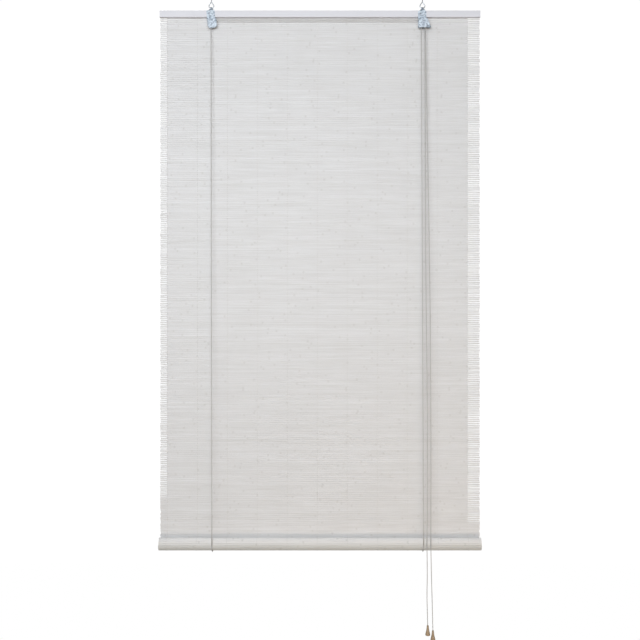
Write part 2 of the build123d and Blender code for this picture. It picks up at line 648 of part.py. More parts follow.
# ---- Every node, with its solids ----
NODES = {
    "left_screw_eye": [screw_eye(left_x + LEFT_EYE_OFFSET)],
    "right_screw_eye": [screw_eye(lock_x + LOCK_EYE_OFFSET)],
    "head_batten": [head_batten()],
    "pulley_bracket": [pulley_bracket()],
    "lock_bracket": [lock_bracket()],
    "bracket_screws": bracket_screws(),
    "left_pulley_rivet": [
        axle(left_x, axle_z, AXLE_DIAMETER, RIVET_HEAD_DIAMETER, RIVET_HEAD, RUN_CLEAR, left_cheek)
    ],
    "lock_pulley_rivet": [
        axle(lock_x, axle_z, AXLE_DIAMETER, RIVET_HEAD_DIAMETER, RIVET_HEAD, RUN_CLEAR, lock_cheek)
    ],
    "left_pulley": [wheel(left_x, [rear_groove_y])],
    "lock_pulley": [wheel(lock_x, [rear_groove_y, front_groove_y])],
    "lock_roller": [lock_roller()],
    "lock_roller_pin": [
        axle(roller_x, roller_z, ROLLER_PIN_DIAMETER, ROLLER_PIN_DIAMETER + 1.6, 0.8, SLOT_CLEAR, lock_cheek)
    ],
    "screen_staples": screen_staples(),
    "cord_staples": cord_staples(),
    "lift_cord_knots": lift_cord_knots(),
    "screen_slats": screen_slats(),
    "warp_threads": warp_threads(),
    "left_lift_cord_cross": [left_lift_cord_cross()],
    "right_lift_cord_lock": [right_lift_cord_lock()],
    "rolled_screen": [rolled_screen()],
    "bottom_rod": [bottom_rod()],
}
for side in ("left", "right"):
    NODES[side + "_lift_cord_back"] = [lift_cord_back(side)]
    NODES[side + "_lift_cord_front"] = [lift_cord_front(side)]
    NODES[side + "_lift_cord_bight"] = [lift_cord_bight(side)]
for name in PULL_CORDS:
    NODES["pull_cord_%s_upper" % name] = [pull_cord_upper(name)]
    NODES["pull_cord_" + name] = [pull_cord(name)]
    NODES["tassel_" + name] = [tassel(name)]
    NODES["tassel_knot_" + name] = [tassel_knot(name)]

os.makedirs("parts", exist_ok=True)
for node, shapes in NODES.items():
    solids = [solid for shape in shapes for solid in shape.solids()]
    export_step(solids[0] if len(solids) == 1 else Compound(solids), "parts/%s.step" % node)
print("slats", slat_count, "thread lines", len(warp_xs), "rod diameter", round(2 * rod_radius, 2))
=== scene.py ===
import logging
import math
from dataclasses import dataclass
from enum import Enum
from typing import Any

import bmesh
import bpy
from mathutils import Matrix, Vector


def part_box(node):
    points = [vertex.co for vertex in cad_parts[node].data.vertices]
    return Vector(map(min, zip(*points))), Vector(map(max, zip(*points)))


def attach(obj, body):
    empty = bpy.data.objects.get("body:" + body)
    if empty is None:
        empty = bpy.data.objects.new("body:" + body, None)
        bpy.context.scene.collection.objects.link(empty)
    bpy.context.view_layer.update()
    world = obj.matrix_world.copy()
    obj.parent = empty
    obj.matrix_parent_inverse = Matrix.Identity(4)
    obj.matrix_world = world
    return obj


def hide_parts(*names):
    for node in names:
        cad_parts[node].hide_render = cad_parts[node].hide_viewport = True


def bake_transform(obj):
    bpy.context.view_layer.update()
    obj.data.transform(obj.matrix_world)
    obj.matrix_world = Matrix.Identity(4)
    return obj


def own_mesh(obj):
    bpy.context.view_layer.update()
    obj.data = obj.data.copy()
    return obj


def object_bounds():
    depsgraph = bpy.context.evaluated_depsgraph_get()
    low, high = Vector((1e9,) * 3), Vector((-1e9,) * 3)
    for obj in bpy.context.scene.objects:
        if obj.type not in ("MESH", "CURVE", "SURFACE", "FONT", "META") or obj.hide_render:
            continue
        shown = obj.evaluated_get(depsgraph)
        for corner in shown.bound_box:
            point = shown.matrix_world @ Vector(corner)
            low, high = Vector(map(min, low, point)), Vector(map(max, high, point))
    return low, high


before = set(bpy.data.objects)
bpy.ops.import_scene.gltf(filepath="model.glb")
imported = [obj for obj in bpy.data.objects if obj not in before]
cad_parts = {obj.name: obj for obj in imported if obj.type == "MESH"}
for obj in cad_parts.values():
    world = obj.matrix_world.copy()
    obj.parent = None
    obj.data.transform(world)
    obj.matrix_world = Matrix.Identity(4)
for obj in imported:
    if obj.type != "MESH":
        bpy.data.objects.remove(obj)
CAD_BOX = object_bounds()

log = logging.getLogger("roll_up_blind")

Colour = tuple[float, float, float]
Point = tuple[float, float, float]
Socket = bpy.types.NodeSocket
Sockets = bpy.types.NodeOutputs
Tree = bpy.types.NodeTree
Object = bpy.types.Object

# How far the roll goes up, where its axis lies at rest, and its radius, in metres.
ROLL_Z = -1.526
ROLL_RADIUS = 0.0183
# A control polygon's corner stands this far out beside an arc's end, as a share of the arc's radius.
CORNER = math.tan(math.radians(22.5))


# ---- node wiring
class Wiring:
    """Puts nodes into a tree and joins them."""

    def __init__(self, tree: Tree) -> None:
        """Keeps the tree that the nodes go into."""
        self.tree = tree

    def add(self, kind: str, inputs: dict[Any, Any] | None = None, **settings: Any) -> bpy.types.Node:
        """Adds one node.

        Args:
            kind: The node's type name.
            inputs: Socket name or number to a value, or to the socket that feeds it.
            **settings: The node's own properties.

        Returns:
            The new node.
        """
        node = self.tree.nodes.new(kind)
        for name, value in settings.items():
            setattr(node, name, value)
        for key, value in (inputs or {}).items():
            if isinstance(value, Socket):
                self.tree.links.new(value, node.inputs[key])
            else:
                node.inputs[key].default_value = value
        return node

    def math(self, operation: str, a: Any, b: Any = 0.0, c: Any = 0.0) -> Socket:
        """The result of one Math node, whichever tree this is."""
        return self.add("ShaderNodeMath", {0: a, 1: b, 2: c}, operation=operation).outputs[0]

    def times(self, a: Any, b: Any) -> Socket:
        """One value times another."""
        return self.math("MULTIPLY", a, b)

    def plus(self, a: Any, b: Any) -> Socket:
        """One value and another."""
        return self.math("ADD", a, b)

    def minus(self, a: Any, b: Any) -> Socket:
        """One value less another."""
        return self.math("SUBTRACT", a, b)

    def blend(self, value: Any, factor: Any, rest: Any) -> Socket:
        """One value times a factor, and the rest."""
        return self.math("MULTIPLY_ADD", value, factor, rest)

    def vector(self, operation: str, a: Any, b: Any) -> Socket:
        """The result of one Vector Math node."""
        return self.add("ShaderNodeVectorMath", {0: a, 1: b}, operation=operation).outputs[0]

    def mix(self, share: Any, a: Any, b: Any) -> Socket:
        """A colour between two colours."""
        return self.add("ShaderNodeMix", {0: share, 6: a, 7: b}, data_type="RGBA").outputs[2]

    def ramp(
        self, value: Any, low: Any, high: Any, start: float = 0.0, end: float = 1.0, shape: str = "SMOOTHSTEP"
    ) -> Socket:
        """A value moved from one range to another, with soft ends unless its shape is LINEAR."""
        wanted = {0: value, 1: low, 2: high, 3: start, 4: end}
        return self.add("ShaderNodeMapRange", wanted, interpolation_type=shape).outputs[0]

    def split(self, vector: Any) -> Sockets:
        """A vector's three parts."""
        return self.add("ShaderNodeSeparateXYZ", {0: vector}).outputs

    def join(self, x: Any, y: Any, z: Any) -> Socket:
        """A vector made of three parts."""
        return self.add("ShaderNodeCombineXYZ", {0: x, 1: y, 2: z}).outputs[0]

    def noise(self, vector: Any, scale: Any, detail: float = 3.0, roughness: float = 0.55) -> Socket:
        """A cloudy value about a half."""
        wanted = {"Vector": vector, "Scale": scale, "Detail": detail, "Roughness": roughness}
        return self.add("ShaderNodeTexNoise", wanted).outputs[0]


def solid(colour: Colour) -> tuple[float, float, float, float]:
    """A colour with full opacity."""
    return (*colour, 1.0)


def open_sockets(tree: Tree, in_out: str, kinds: dict[str, str]) -> None:
    """Adds named inputs or outputs to a group's interface."""
    for name, kind in kinds.items():
        tree.interface.new_socket(name, in_out=in_out, socket_type="NodeSocket" + kind)


def numbers(*names: str) -> dict[str, str]:
    """Names of inputs or outputs that are plain numbers, with their kind."""
    return dict.fromkeys(names, "Float")


COLOURS = {"Light": "Color", "Dark": "Color"}


# ---- shared effects
class SharedEffect:
    """A shader node group with named inputs and outputs, built once and placed in many materials."""

    title = ""
    takes: dict[str, str] = {}
    gives: dict[str, str] = {}
    built: dict[str, Tree] = {}

    @classmethod
    def tree(cls) -> Tree:
        """Builds the group's tree when it is first asked for.

        Returns:
            The tree.
        """
        if cls.title not in SharedEffect.built:
            tree = bpy.data.node_groups.new(cls.title, "ShaderNodeTree")
            open_sockets(tree, "INPUT", cls.takes)
            open_sockets(tree, "OUTPUT", cls.gives)
            wiring = Wiring(tree)
            found = cls.build(wiring, wiring.add("NodeGroupInput").outputs)
            wiring.add("NodeGroupOutput", found)
            SharedEffect.built[cls.title] = tree
        return SharedEffect.built[cls.title]

    @classmethod
    def build(cls, w: Wiring, given: Sockets) -> dict[str, Socket]:
        """Wires the group up and returns the sockets that feed its outputs."""
        raise NotImplementedError

    @classmethod
    def place(cls, w: Wiring, inputs: dict[str, Any]) -> Sockets:
        """Adds the group to a material's tree and returns its outputs."""
        return w.add("ShaderNodeGroup", inputs, node_tree=cls.tree()).outputs


class FibreGrain(SharedEffect):
    """Long fibres with a cloudy tone, for split bamboo and for planed or turned wood."""

    title = "Fibre grain"
    takes = {"Vector": "Vector", "Fibres": "Vector", **COLOURS, **numbers("Clouds", "Contrast")}
    gives = {"Color": "Color", **numbers("Fibre")}

    @classmethod
    def build(cls, w: Wiring, given: Sockets) -> dict[str, Socket]:
        """Stretches a fine noise along the fibres and adds a broad one.

        Args:
            w: The group's wiring.
            given: The sockets that bring its inputs.

        Returns:
            The sockets that feed its outputs.
        """
        fibre = w.noise(w.vector("MULTIPLY", given["Vector"], given["Fibres"]), 1.0, 5.0, 0.65)
        cloud = w.noise(given["Vector"], given["Clouds"], 2.0)
        tone = w.blend(w.ramp(fibre, 0.3, 0.72), 0.7, w.times(cloud, 0.5))
        share = w.times(w.minus(1.0, tone), given["Contrast"])
        return {"Color": w.mix(share, given["Light"], given["Dark"]), "Fibre": fibre}


class CaneJoints(SharedEffect):
    """The rings where a cane's lengths meet, one every hand or two along each split slat."""

    title = "Cane joints"
    takes = numbers("Along", "Slat", "Spacing", "Width")
    gives = numbers("Joint", "Lip")

    @classmethod
    def build(cls, w: Wiring, given: Sockets) -> dict[str, Socket]:
        """Repeats one narrow ring along the slat, shifted differently on each slat.

        Args:
            w: The group's wiring.
            given: The sockets that bring its inputs.

        Returns:
            The sockets that feed its outputs.
        """
        turns = w.math("DIVIDE", given["Along"], given["Spacing"])
        place = w.math("FRACT", w.blend(given["Slat"], 17.3, turns))
        away = w.times(w.math("ABSOLUTE", w.minus(place, 0.5)), given["Spacing"])
        ring = w.ramp(away, 0.0, given["Width"], 1.0, 0.0, "LINEAR")
        lip = w.ramp(away, 0.0, w.times(given["Width"], 3.0), 1.0, 0.0, "LINEAR")
        return {"Joint": ring, "Lip": lip}


class BraidedYarn(SharedEffect):
    """Strands that cross over and under each other round a cord."""

    title = "Braided yarn"
    takes = {"Vector": "Vector", **numbers("Strands", "Crossings")}
    gives = numbers("Height", "Braid Shade")

    @classmethod
    def build(cls, w: Wiring, given: Sockets) -> dict[str, Socket]:
        """Takes the higher of two sets of slanting waves, one for each way round.

        Args:
            w: The group's wiring.
            given: The sockets that bring its inputs.

        Returns:
            The sockets that feed its outputs.
        """
        parts = w.split(given["Vector"])
        around, along = w.times(parts[0], given["Strands"]), w.times(parts[1], given["Crossings"])
        waves = [w.math("SINE", w.times(w.math(way, around, along), math.tau)) for way in ("ADD", "SUBTRACT")]
        height = w.blend(w.math("MAXIMUM", *waves), 0.5, 0.5)
        # Painted shade: darker where the strands dip under each other.
        return {"Height": height, "Braid Shade": w.ramp(height, 0.55, 0.2)}


class ZincSpangle(SharedEffect):
    """The crystal patches of a zinc coat, with fine rolling lines and darker handled patches."""

    title = "Zinc spangle"
    takes = {"Vector": "Vector", **COLOURS, **numbers("Patch")}
    gives = {"Color": "Color", **numbers("Tone", "Height")}

    @classmethod
    def build(cls, w: Wiring, given: Sockets) -> dict[str, Socket]:
        """Gives each crystal its own tone and adds cloudy stains over them.

        Args:
            w: The group's wiring.
            given: The sockets that bring its inputs.

        Returns:
            The sockets that feed its outputs.
        """
        cells = w.add("ShaderNodeTexVoronoi", {"Vector": given["Vector"], "Scale": given["Patch"]})
        cell = w.split(cells.outputs["Color"])[0]
        stain = w.noise(given["Vector"], w.times(given["Patch"], 0.42), 4.0, 0.6)
        tone = w.blend(cell, 0.38, w.ramp(stain, 0.36, 0.56, 0.0, 0.62))
        rolled = w.noise(w.vector("MULTIPLY", given["Vector"], (1.0, 1.0, 14.0)), 900.0, 2.0)
        return {"Color": w.mix(tone, given["Dark"], given["Light"]), "Tone": tone, "Height": rolled}


class HandledSoil(SharedEffect):
    """Faint cloudy soiling, such as dust and handling leave."""

    title = "Handled soil"
    takes = {"Vector": "Vector", "Color": "Color", "Soil": "Color", **numbers("Amount", "Scale")}
    gives = {"Color": "Color", **numbers("Mask")}

    @classmethod
    def build(cls, w: Wiring, given: Sockets) -> dict[str, Socket]:
        """Darkens patches of a colour where a noise is high."""
        mask = w.ramp(w.noise(given["Vector"], given["Scale"], 5.0, 0.6), 0.48, 0.75)
        return {"Color": w.mix(w.times(mask, given["Amount"]), given["Color"], given["Soil"]), "Mask": mask}


# ---- finishes
DUST = (0.4, 0.38, 0.34)
GREASE = (0.24, 0.26, 0.3)
# The dark colour of the painted shade on the zinc sheet's flanks and folds.
PAINTED_SHADE_COLOUR = (0.09, 0.11, 0.14)


class Surface(Wiring):
    """A material's wiring, with its surface shader and the point on the object."""

    def __init__(self, material: bpy.types.Material, roughness: float) -> None:
        """Empties the material and gives it a surface shader.

        Args:
            material: The material.
            roughness: Its roughness where nothing else sets one.
        """
        material.use_nodes = True
        material.node_tree.nodes.clear()
        super().__init__(material.node_tree)
        self.shader = self.add("ShaderNodeBsdfPrincipled", {"Roughness": roughness})
        self.add("ShaderNodeOutputMaterial", {"Surface": self.shader.outputs[0]})
        self.place = self.add("ShaderNodeTexCoord").outputs["Object"]

    def stored(self, name: str) -> Socket:
        """A value that the mesh keeps."""
        return self.add("ShaderNodeAttribute", attribute_name=name).outputs["Fac"]


@dataclass(frozen=True)
class Finish:
    """What a surface is made of: its colours, its gloss, and how deep its relief is."""

    name: str
    light: Colour
    dark: Colour
    roughness: float
    relief: float

    def material(self) -> bpy.types.Material:
        """Makes the finish's material when it is first asked for.

        Returns:
            The material.
        """
        made = bpy.data.materials.get(self.name)
        if made is None:
            made = bpy.data.materials.new(self.name)
            self.dress(Surface(made, self.roughness))
        return made

    def dress(self, w: Surface) -> None:
        """Feeds the surface shader with this finish's colour, gloss and relief."""
        raise NotImplementedError

    def feed(self, w: Surface, colour: Socket, rough: Socket, height: Socket) -> None:
        """Joins a colour, a roughness and a height to the surface shader.

        Args:
            w: The material's wiring.
            colour: The surface's colour.
            rough: Its roughness.
            height: Its relief, from 0 to 1.
        """
        bump = w.add("ShaderNodeBump", {"Strength": 0.6, "Distance": self.relief, "Height": height})
        for name, socket in (("Base Color", colour), ("Roughness", rough), ("Normal", bump.outputs[0])):
            w.tree.links.new(socket, w.shader.inputs[name])

    def tones(self) -> dict[str, Any]:
        """The finish's two colours, by the names that the shared effects give them."""
        return {"Light": solid(self.light), "Dark": solid(self.dark)}

    def grain(self, w: Surface, vector: Socket, fibres: Point, clouds: float, contrast: float) -> Sockets:
        """Fibres between the finish's two colours."""
        inputs = {"Vector": vector, "Fibres": fibres, "Clouds": clouds, "Contrast": contrast}
        return FibreGrain.place(w, {**inputs, **self.tones()})

    def soil(self, w: Surface, colour: Socket, amount: float, scale: float, soil: Colour = DUST) -> Sockets:
        """Soiling over a colour."""
        inputs = {"Vector": w.place, "Color": colour, "Soil": solid(soil), "Amount": amount, "Scale": scale}
        return HandledSoil.place(w, inputs)


@dataclass(frozen=True)
class BambooFinish(Finish):
    """Split bamboo slats: fibres along the slat, cane joints, and a tone of its own on each slat."""

    contrast: float = 0.5
    variety: float = 0.1
    # Painted highlight: the lighter colour of the bamboo that lies uppermost, between two heights.
    painted_highlight: Colour | None = None
    highlight_heights: tuple[float, float] = (0.0, 1.0)
    joint_spacing: float = 0.29
    joint_width: float = 0.004

    def dress(self, w: Surface) -> None:
        """Reads each slat's tone from the mesh, and paints a highlight on the bamboo that lies uppermost.

        Args:
            w: The material's wiring.
        """
        parts, slat = w.split(w.place), w.stored("slat_tone")
        shifted = w.vector("ADD", w.place, w.join(w.times(slat, 3.0), 0.0, 0.0))
        grain = self.grain(w, shifted, (9.0, 700.0, 1500.0), 9.0, self.contrast)
        colour = grain["Color"]
        # Painted highlight: the top of the roll is painted lighter, where light from above falls.
        if self.painted_highlight:
            colour = w.mix(w.ramp(parts[2], *self.highlight_heights), colour, solid(self.painted_highlight))
        cane = {"Spacing": self.joint_spacing, "Width": self.joint_width}
        joints = CaneJoints.place(w, {"Along": parts[0], "Slat": slat, **cane})
        for share in (w.times(slat, self.variety), w.times(joints["Joint"], 0.3)):
            colour = w.mix(share, colour, solid(self.dark))
        soil = self.soil(w, colour, 0.05, 7.0)
        rough = w.ramp(grain["Fibre"], 0.3, 0.7, self.roughness + 0.1, self.roughness - 0.06)
        self.feed(w, soil["Color"], rough, w.blend(joints["Lip"], 0.6, grain["Fibre"]))


@dataclass(frozen=True)
class WoodFinish(Finish):
    """Planed or turned wood, with its fibres along one axis."""

    fibres: Point = (6.0, 700.0, 700.0)
    contrast: float = 0.5
    soiling: float = 0.1

    def dress(self, w: Surface) -> None:
        """Lays grain along the fibres, with pores and a little soiling.

        Args:
            w: The material's wiring.
        """
        grain = self.grain(w, w.place, self.fibres, 24.0, self.contrast)
        soil = self.soil(w, grain["Color"], self.soiling, 60.0)
        rough = w.ramp(soil["Mask"], 0.0, 1.0, self.roughness, self.roughness + 0.15)
        self.feed(w, soil["Color"], rough, grain["Fibre"])


@dataclass(frozen=True)
class YarnFinish(Finish):
    """Spun or braided yarn, read from the cord's own UV map."""

    strands: float = 4.0
    crossings: float = 1.1

    def dress(self, w: Surface) -> None:
        """Paints shade into the hollows of the braid and roughens its fibres.

        Args:
            w: The material's wiring.
        """
        run = w.add("ShaderNodeUVMap").outputs[0]
        braid = BraidedYarn.place(w, {"Vector": run, "Strands": self.strands, "Crossings": self.crossings})
        fuzz = w.noise(w.place, 2600.0)
        # Painted shade in the hollows between the braid's strands.
        colour = w.mix(w.times(braid["Braid Shade"], 0.7), solid(self.light), solid(self.dark))
        soil = self.soil(w, colour, 0.14, 45.0)
        rough = w.ramp(fuzz, 0.3, 0.7, self.roughness - 0.08, self.roughness + 0.08)
        self.feed(w, soil["Color"], rough, w.blend(fuzz, 0.25, braid["Height"]))


@dataclass(frozen=True)
class SteelFinish(Finish):
    """Zinc-plated steel, sheet or wire."""

    patch: float = 420.0
    metal: float = 0.75
    folds: tuple[float, ...] = ()

    def dress(self, w: Surface) -> None:
        """Lays spangle over the plate, dulls its darker crystals and paints shade on its folds and flanks.

        Args:
            w: The material's wiring.
        """
        zinc = ZincSpangle.place(w, {"Vector": w.place, "Patch": self.patch, **self.tones()})
        colour = self.soil(w, zinc["Color"], 0.3, 210.0, GREASE)["Color"]
        rough = w.ramp(zinc["Tone"], 0.0, 1.0, self.roughness + 0.14, self.roughness - 0.06)
        w.shader.inputs["Metallic"].default_value = self.metal
        # Painted shade: faces that look sideways, and a narrow band at each fold's height, are mixed towards a
        # dark colour.
        if self.folds:
            height, shade_mask = w.split(w.place)[2], w.ramp(w.stored("side_face"), 0.4, 0.9, 0.0, 0.6)
            for fold in self.folds:
                away = w.math("ABSOLUTE", w.minus(height, fold))
                shade_mask = w.math("MAXIMUM", shade_mask, w.ramp(away, 0.001, 0.0017, 0.8, 0.0))
            colour = w.mix(shade_mask, colour, solid(PAINTED_SHADE_COLOUR))
        self.feed(w, colour, rough, zinc["Height"])


@dataclass(frozen=True)
class NylonFinish(Finish):
    """Moulded nylon, a little translucent white, polished where cord runs on it."""

    def dress(self, w: Surface) -> None:
        """Adds moulding clouds and faint grey from the cord.

        Args:
            w: The material's wiring.
        """
        cloud = w.noise(w.place, 330.0)
        colour = w.mix(w.ramp(cloud, 0.35, 0.75), solid(self.light), solid(self.dark))
        soil = self.soil(w, colour, 0.2, 500.0)
        rough = w.ramp(soil["Mask"], 0.0, 1.0, self.roughness, self.roughness + 0.2)
        w.shader.inputs["Subsurface Weight"].default_value = 0.05
        w.shader.inputs["Subsurface Radius"].default_value = (0.002, 0.002, 0.002)
        self.feed(w, soil["Color"], rough, cloud)


BAMBOO = BambooFinish("Split bamboo", (0.765, 0.757, 0.755), (0.44, 0.415, 0.375), 0.5, 0.00018)
WOUND_BAMBOO = BambooFinish(
    "Wound bamboo",
    (0.7, 0.69, 0.66),
    (0.42, 0.41, 0.36),
    roughness=0.5,
    relief=0.00015,
    contrast=0.4,
    variety=0.25,
    # Painted highlight along the top of the roll.
    painted_highlight=(0.88, 0.855, 0.835),
    highlight_heights=(ROLL_Z - 0.004, ROLL_Z + 0.0155),
)
BATTEN_WOOD = WoodFinish(
    "Limed batten",
    (0.71, 0.7, 0.725),
    (0.545, 0.535, 0.56),
    roughness=0.5,
    relief=0.0001,
    fibres=(4.0, 200.0, 420.0),
    contrast=0.3,
    soiling=0.05,
)
ROD_WOOD = WoodFinish("Plain dowel", (0.66, 0.54, 0.38), (0.4, 0.29, 0.17), 0.6, 0.0002)
BELL_WOOD = WoodFinish(
    "Turned bell",
    (0.45, 0.33, 0.21),
    (0.2, 0.13, 0.07),
    roughness=0.34,
    relief=0.00012,
    fibres=(900.0, 900.0, 60.0),
    contrast=0.65,
    soiling=0.2,
)
CORD_YARN = YarnFinish("Braided cord", (0.54, 0.525, 0.5), (0.29, 0.28, 0.26), 0.85, 0.0003)
WARP_YARN = YarnFinish("Warp twine", (0.66, 0.65, 0.62), (0.42, 0.4, 0.37), 0.9, 0.00015, 2.0, 2.4)
ZINC_SHEET = SteelFinish(
    "Zinc sheet",
    (0.69, 0.765, 0.83),
    (0.14, 0.18, 0.23),
    roughness=0.5,
    relief=0.00004,
    metal=0.12,
    # Heights of the bands of painted shade, at the hook's throat and the plate's shoulder.
    folds=(-0.0241, -0.0297),
)
ZINC_WIRE = SteelFinish("Zinc wire", (0.72, 0.74, 0.76), (0.4, 0.42, 0.45), 0.32, 0.00003, 800.0, 0.9)
ZINC_SCREW = SteelFinish("Zinc screw", (0.62, 0.66, 0.72), (0.16, 0.18, 0.22), 0.36, 0.00003, 900.0, 0.85)
STAPLE_WIRE = SteelFinish("Staple wire", (0.7, 0.7, 0.71), (0.45, 0.45, 0.46), 0.3, 0.00002, 1500.0, 0.9)
NYLON = NylonFinish("Wheel nylon", (0.82, 0.81, 0.78), (0.66, 0.65, 0.61), 0.38, 0.00005)


# ---- pieces
@dataclass
class Piece:
    """Where a finished mesh goes: what it rides on, what it stands for and its finish."""

    body: str
    slot: str
    replaces: tuple[str, ...] = ()
    squash_from: float | None = None
    squash_length: float = 1.0

    def settle(self, obj: Object) -> Object:
        """Puts a finished object on its body, with a mesh of its own if it has a top to shorten from.

        Args:
            obj: The finished mesh object.

        Returns:
            The same object.
        """
        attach(obj, self.body)
        if self.squash_from is not None:
            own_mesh(obj)
        if self.replaces:
            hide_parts(*self.replaces)
        log.info("%s rides on %s, %d faces", obj.name, self.body, len(obj.data.polygons))
        return obj


def drawn_up(slot: str, node: str, top: float) -> Piece:
    """A piece on the head that keeps its top and its height above the roll's axis."""
    return Piece("head", slot, (node,), top, top - ROLL_Z)


def linked(name: str, data: bpy.types.ID) -> Object:
    """Makes an object in the scene that holds a mesh, a curve, a light or a camera.

    Args:
        name: The object's name.
        data: What it holds.

    Returns:
        The object.
    """
    obj = bpy.data.objects.new(name, data)
    bpy.context.scene.collection.objects.link(obj)
    return obj


def mesh_object(name: str, points: list, faces: list, finish: Finish, smooth: bool = True) -> Object:
    """Makes an object of points and faces.

    Args:
        name: The object's name.
        points: The vertices.
        faces: Each face's vertex numbers.
        finish: Its finish.
        smooth: Whether its faces shade smoothly.

    Returns:
        The object, linked to the scene.
    """
    mesh = bpy.data.meshes.new(name)
    mesh.from_pydata([tuple(p) for p in points], [], faces)
    mesh.polygons.foreach_set("use_smooth", [smooth] * len(mesh.polygons))
    mesh.materials.append(finish.material())
    mesh.update()
    return linked(name, mesh)


def ring_faces(rings: int, sides: int) -> list[tuple[int, ...]]:
    """The faces of a closed shape whose points are rings, one after the other.

    Args:
        rings: How many rings there are.
        sides: How many points each ring has.

    Returns:
        Each face's vertex numbers, with the two end faces last.
    """
    faces = []
    for i in range(rings - 1):
        for k in range(sides):
            a, b = i * sides + k, i * sides + (k + 1) % sides
            faces.append((a, b, b + sides, a + sides))
    faces.append(tuple(reversed(range(sides))))
    faces.append(tuple(range((rings - 1) * sides, rings * sides)))
    return faces


def nurbs_line(points: list[Point], resolution: int = 12) -> list[Vector]:
    """The smooth line that a NURBS spline makes of its control points.

    Args:
        points: The control points.
        resolution: How many points the line has for each of them.

    Returns:
        The points along the line.
    """
    curve = bpy.data.curves.new("route", "CURVE")
    curve.dimensions = "3D"
    spline = curve.splines.new("NURBS")
    spline.points.add(len(points) - 1)
    for place, point in zip(spline.points, points):
        place.co = (*point, 1.0)
    spline.order_u = 3
    spline.use_endpoint_u = True
    spline.resolution_u = resolution
    holder = linked("route", curve)
    mesh = bpy.data.meshes.new_from_object(holder)
    line = [v.co.copy() for v in mesh.vertices]
    bpy.data.objects.remove(holder)
    bpy.data.curves.remove(curve)
    bpy.data.meshes.remove(mesh)
    return line


def tube(name: str, line: list[Vector], radius: float, finish: Finish, sides: int = 10) -> Object:
    """A round tube along a line, with a UV map that runs round it and along it.

    Args:
        name: The object's name.
        line: The points that it follows.
        radius: The tube's radius.
        finish: Its finish.
        sides: How many sides it has.

    Returns:
        The tube. One unit of V is as long as the tube is round.
    """
    points, run = [], [0.0]
    side = Vector((0.0, 1.0, 0.0))
    for i, place in enumerate(line):
        ahead = (line[min(i + 1, len(line) - 1)] - line[max(i - 1, 0)]).normalized()
        lean = side.dot(ahead)
        side = (side - ahead * lean).normalized() if abs(lean) < 0.99 else ahead.orthogonal()
        other = ahead.cross(side)
        for k in range(sides):
            turn = math.tau * k / sides
            points.append(place + (side * math.cos(turn) + other * math.sin(turn)) * radius)
        if i:
            run.append(run[-1] + (place - line[i - 1]).length)
    obj = mesh_object(name, points, ring_faces(len(line), sides), finish)
    layer = obj.data.uv_layers.new(name="UVMap")
    around = math.tau * radius
    corner = 0
    for i in range(len(line) - 1):
        for k in range(sides):
            for du, dv in ((0, 0), (1, 0), (1, 1), (0, 1)):
                layer.data[corner].uv = ((k + du) / sides, run[i + dv] / around)
                corner += 1
    return obj


def lathe(
    name: str, foot: Vector, profile: list[tuple[float, float]], finish: Finish, sides: int = 20
) -> Object:
    """A turned shape about a line along Z.

    Args:
        name: The object's name.
        foot: The axis's place. Heights count from it.
        profile: Heights and radii, in order.
        finish: Its finish.
        sides: How many sides it has.

    Returns:
        The closed shape.
    """
    points = []
    for height, radius in profile:
        for k in range(sides):
            turn = math.tau * k / sides
            points.append(foot + Vector((radius * math.cos(turn), radius * math.sin(turn), height)))
    obj = mesh_object(name, points, ring_faces(len(profile), sides), finish)
    work = bmesh.new()
    work.from_mesh(obj.data)
    bmesh.ops.recalc_face_normals(work, faces=work.faces)
    for edge in work.edges:
        if edge.calc_face_angle(0.0) > math.radians(35):
            edge.smooth = False
    work.to_mesh(obj.data)
    work.free()
    return obj


def joined(name: str, parts: list[Object]) -> Object:
    """Makes one object of several that share a material.

    Args:
        name: The new object's name.
        parts: The objects, which are used up.

    Returns:
        The joined object.
    """
    work = bmesh.new()
    for part in parts:
        work.from_mesh(part.data)
    mesh = bpy.data.meshes.new(name)
    mesh.materials.append(parts[0].data.materials[0])
    work.to_mesh(mesh)
    work.free()
    for part in parts:
        bpy.data.objects.remove(part)
    return linked(name, mesh)


def knot(name: str, centre: Vector, radius: float, cord: float, tall: float = 1.0) -> Object:
    """An overhand knot pulled tight, as one closed loop of cord.

    Args:
        name: The object's name.
        centre: Its middle.
        radius: How far it reaches from its middle.
        cord: The cord's radius in it.
        tall: Its height as a share of its width.

    Returns:
        The knot.
    """
    size, steps, line = (radius - cord) / 3.0, 72, []
    for i in range(steps + 1):
        t = math.tau * i / steps
        x = math.sin(t) + 2 * math.sin(2 * t)
        y = math.cos(t) - 2 * math.cos(2 * t)
        z = -math.sin(3 * t) * 1.7
        line.append(centre + Vector((x, z, y * tall)) * size)
    return tube(name, line, cord, CORD_YARN)


def grown(name: str, blank: Object, tree: Tree, values: dict[str, Any]) -> Object:
    """Runs a Geometry Nodes tree on a blank and keeps the result as a plain mesh.

    Args:
        name: The result's name.
        blank: The object whose mesh goes in. It is used up.
        tree: The tree.
        values: The tree's inputs by name.

    Returns:
        A plain mesh object with no modifier.
    """
    modifier = blank.modifiers.new("Grown", "NODES")
    modifier.node_group = tree
    for item in tree.interface.items_tree:
        if getattr(item, "in_out", "") == "INPUT" and item.name in values:
            modifier[item.identifier] = values[item.name]
    evaluated = blank.evaluated_get(bpy.context.evaluated_depsgraph_get())
    mesh = bpy.data.meshes.new_from_object(evaluated)
    mesh.name = name
    bpy.data.objects.remove(blank)
    return linked(name, mesh)


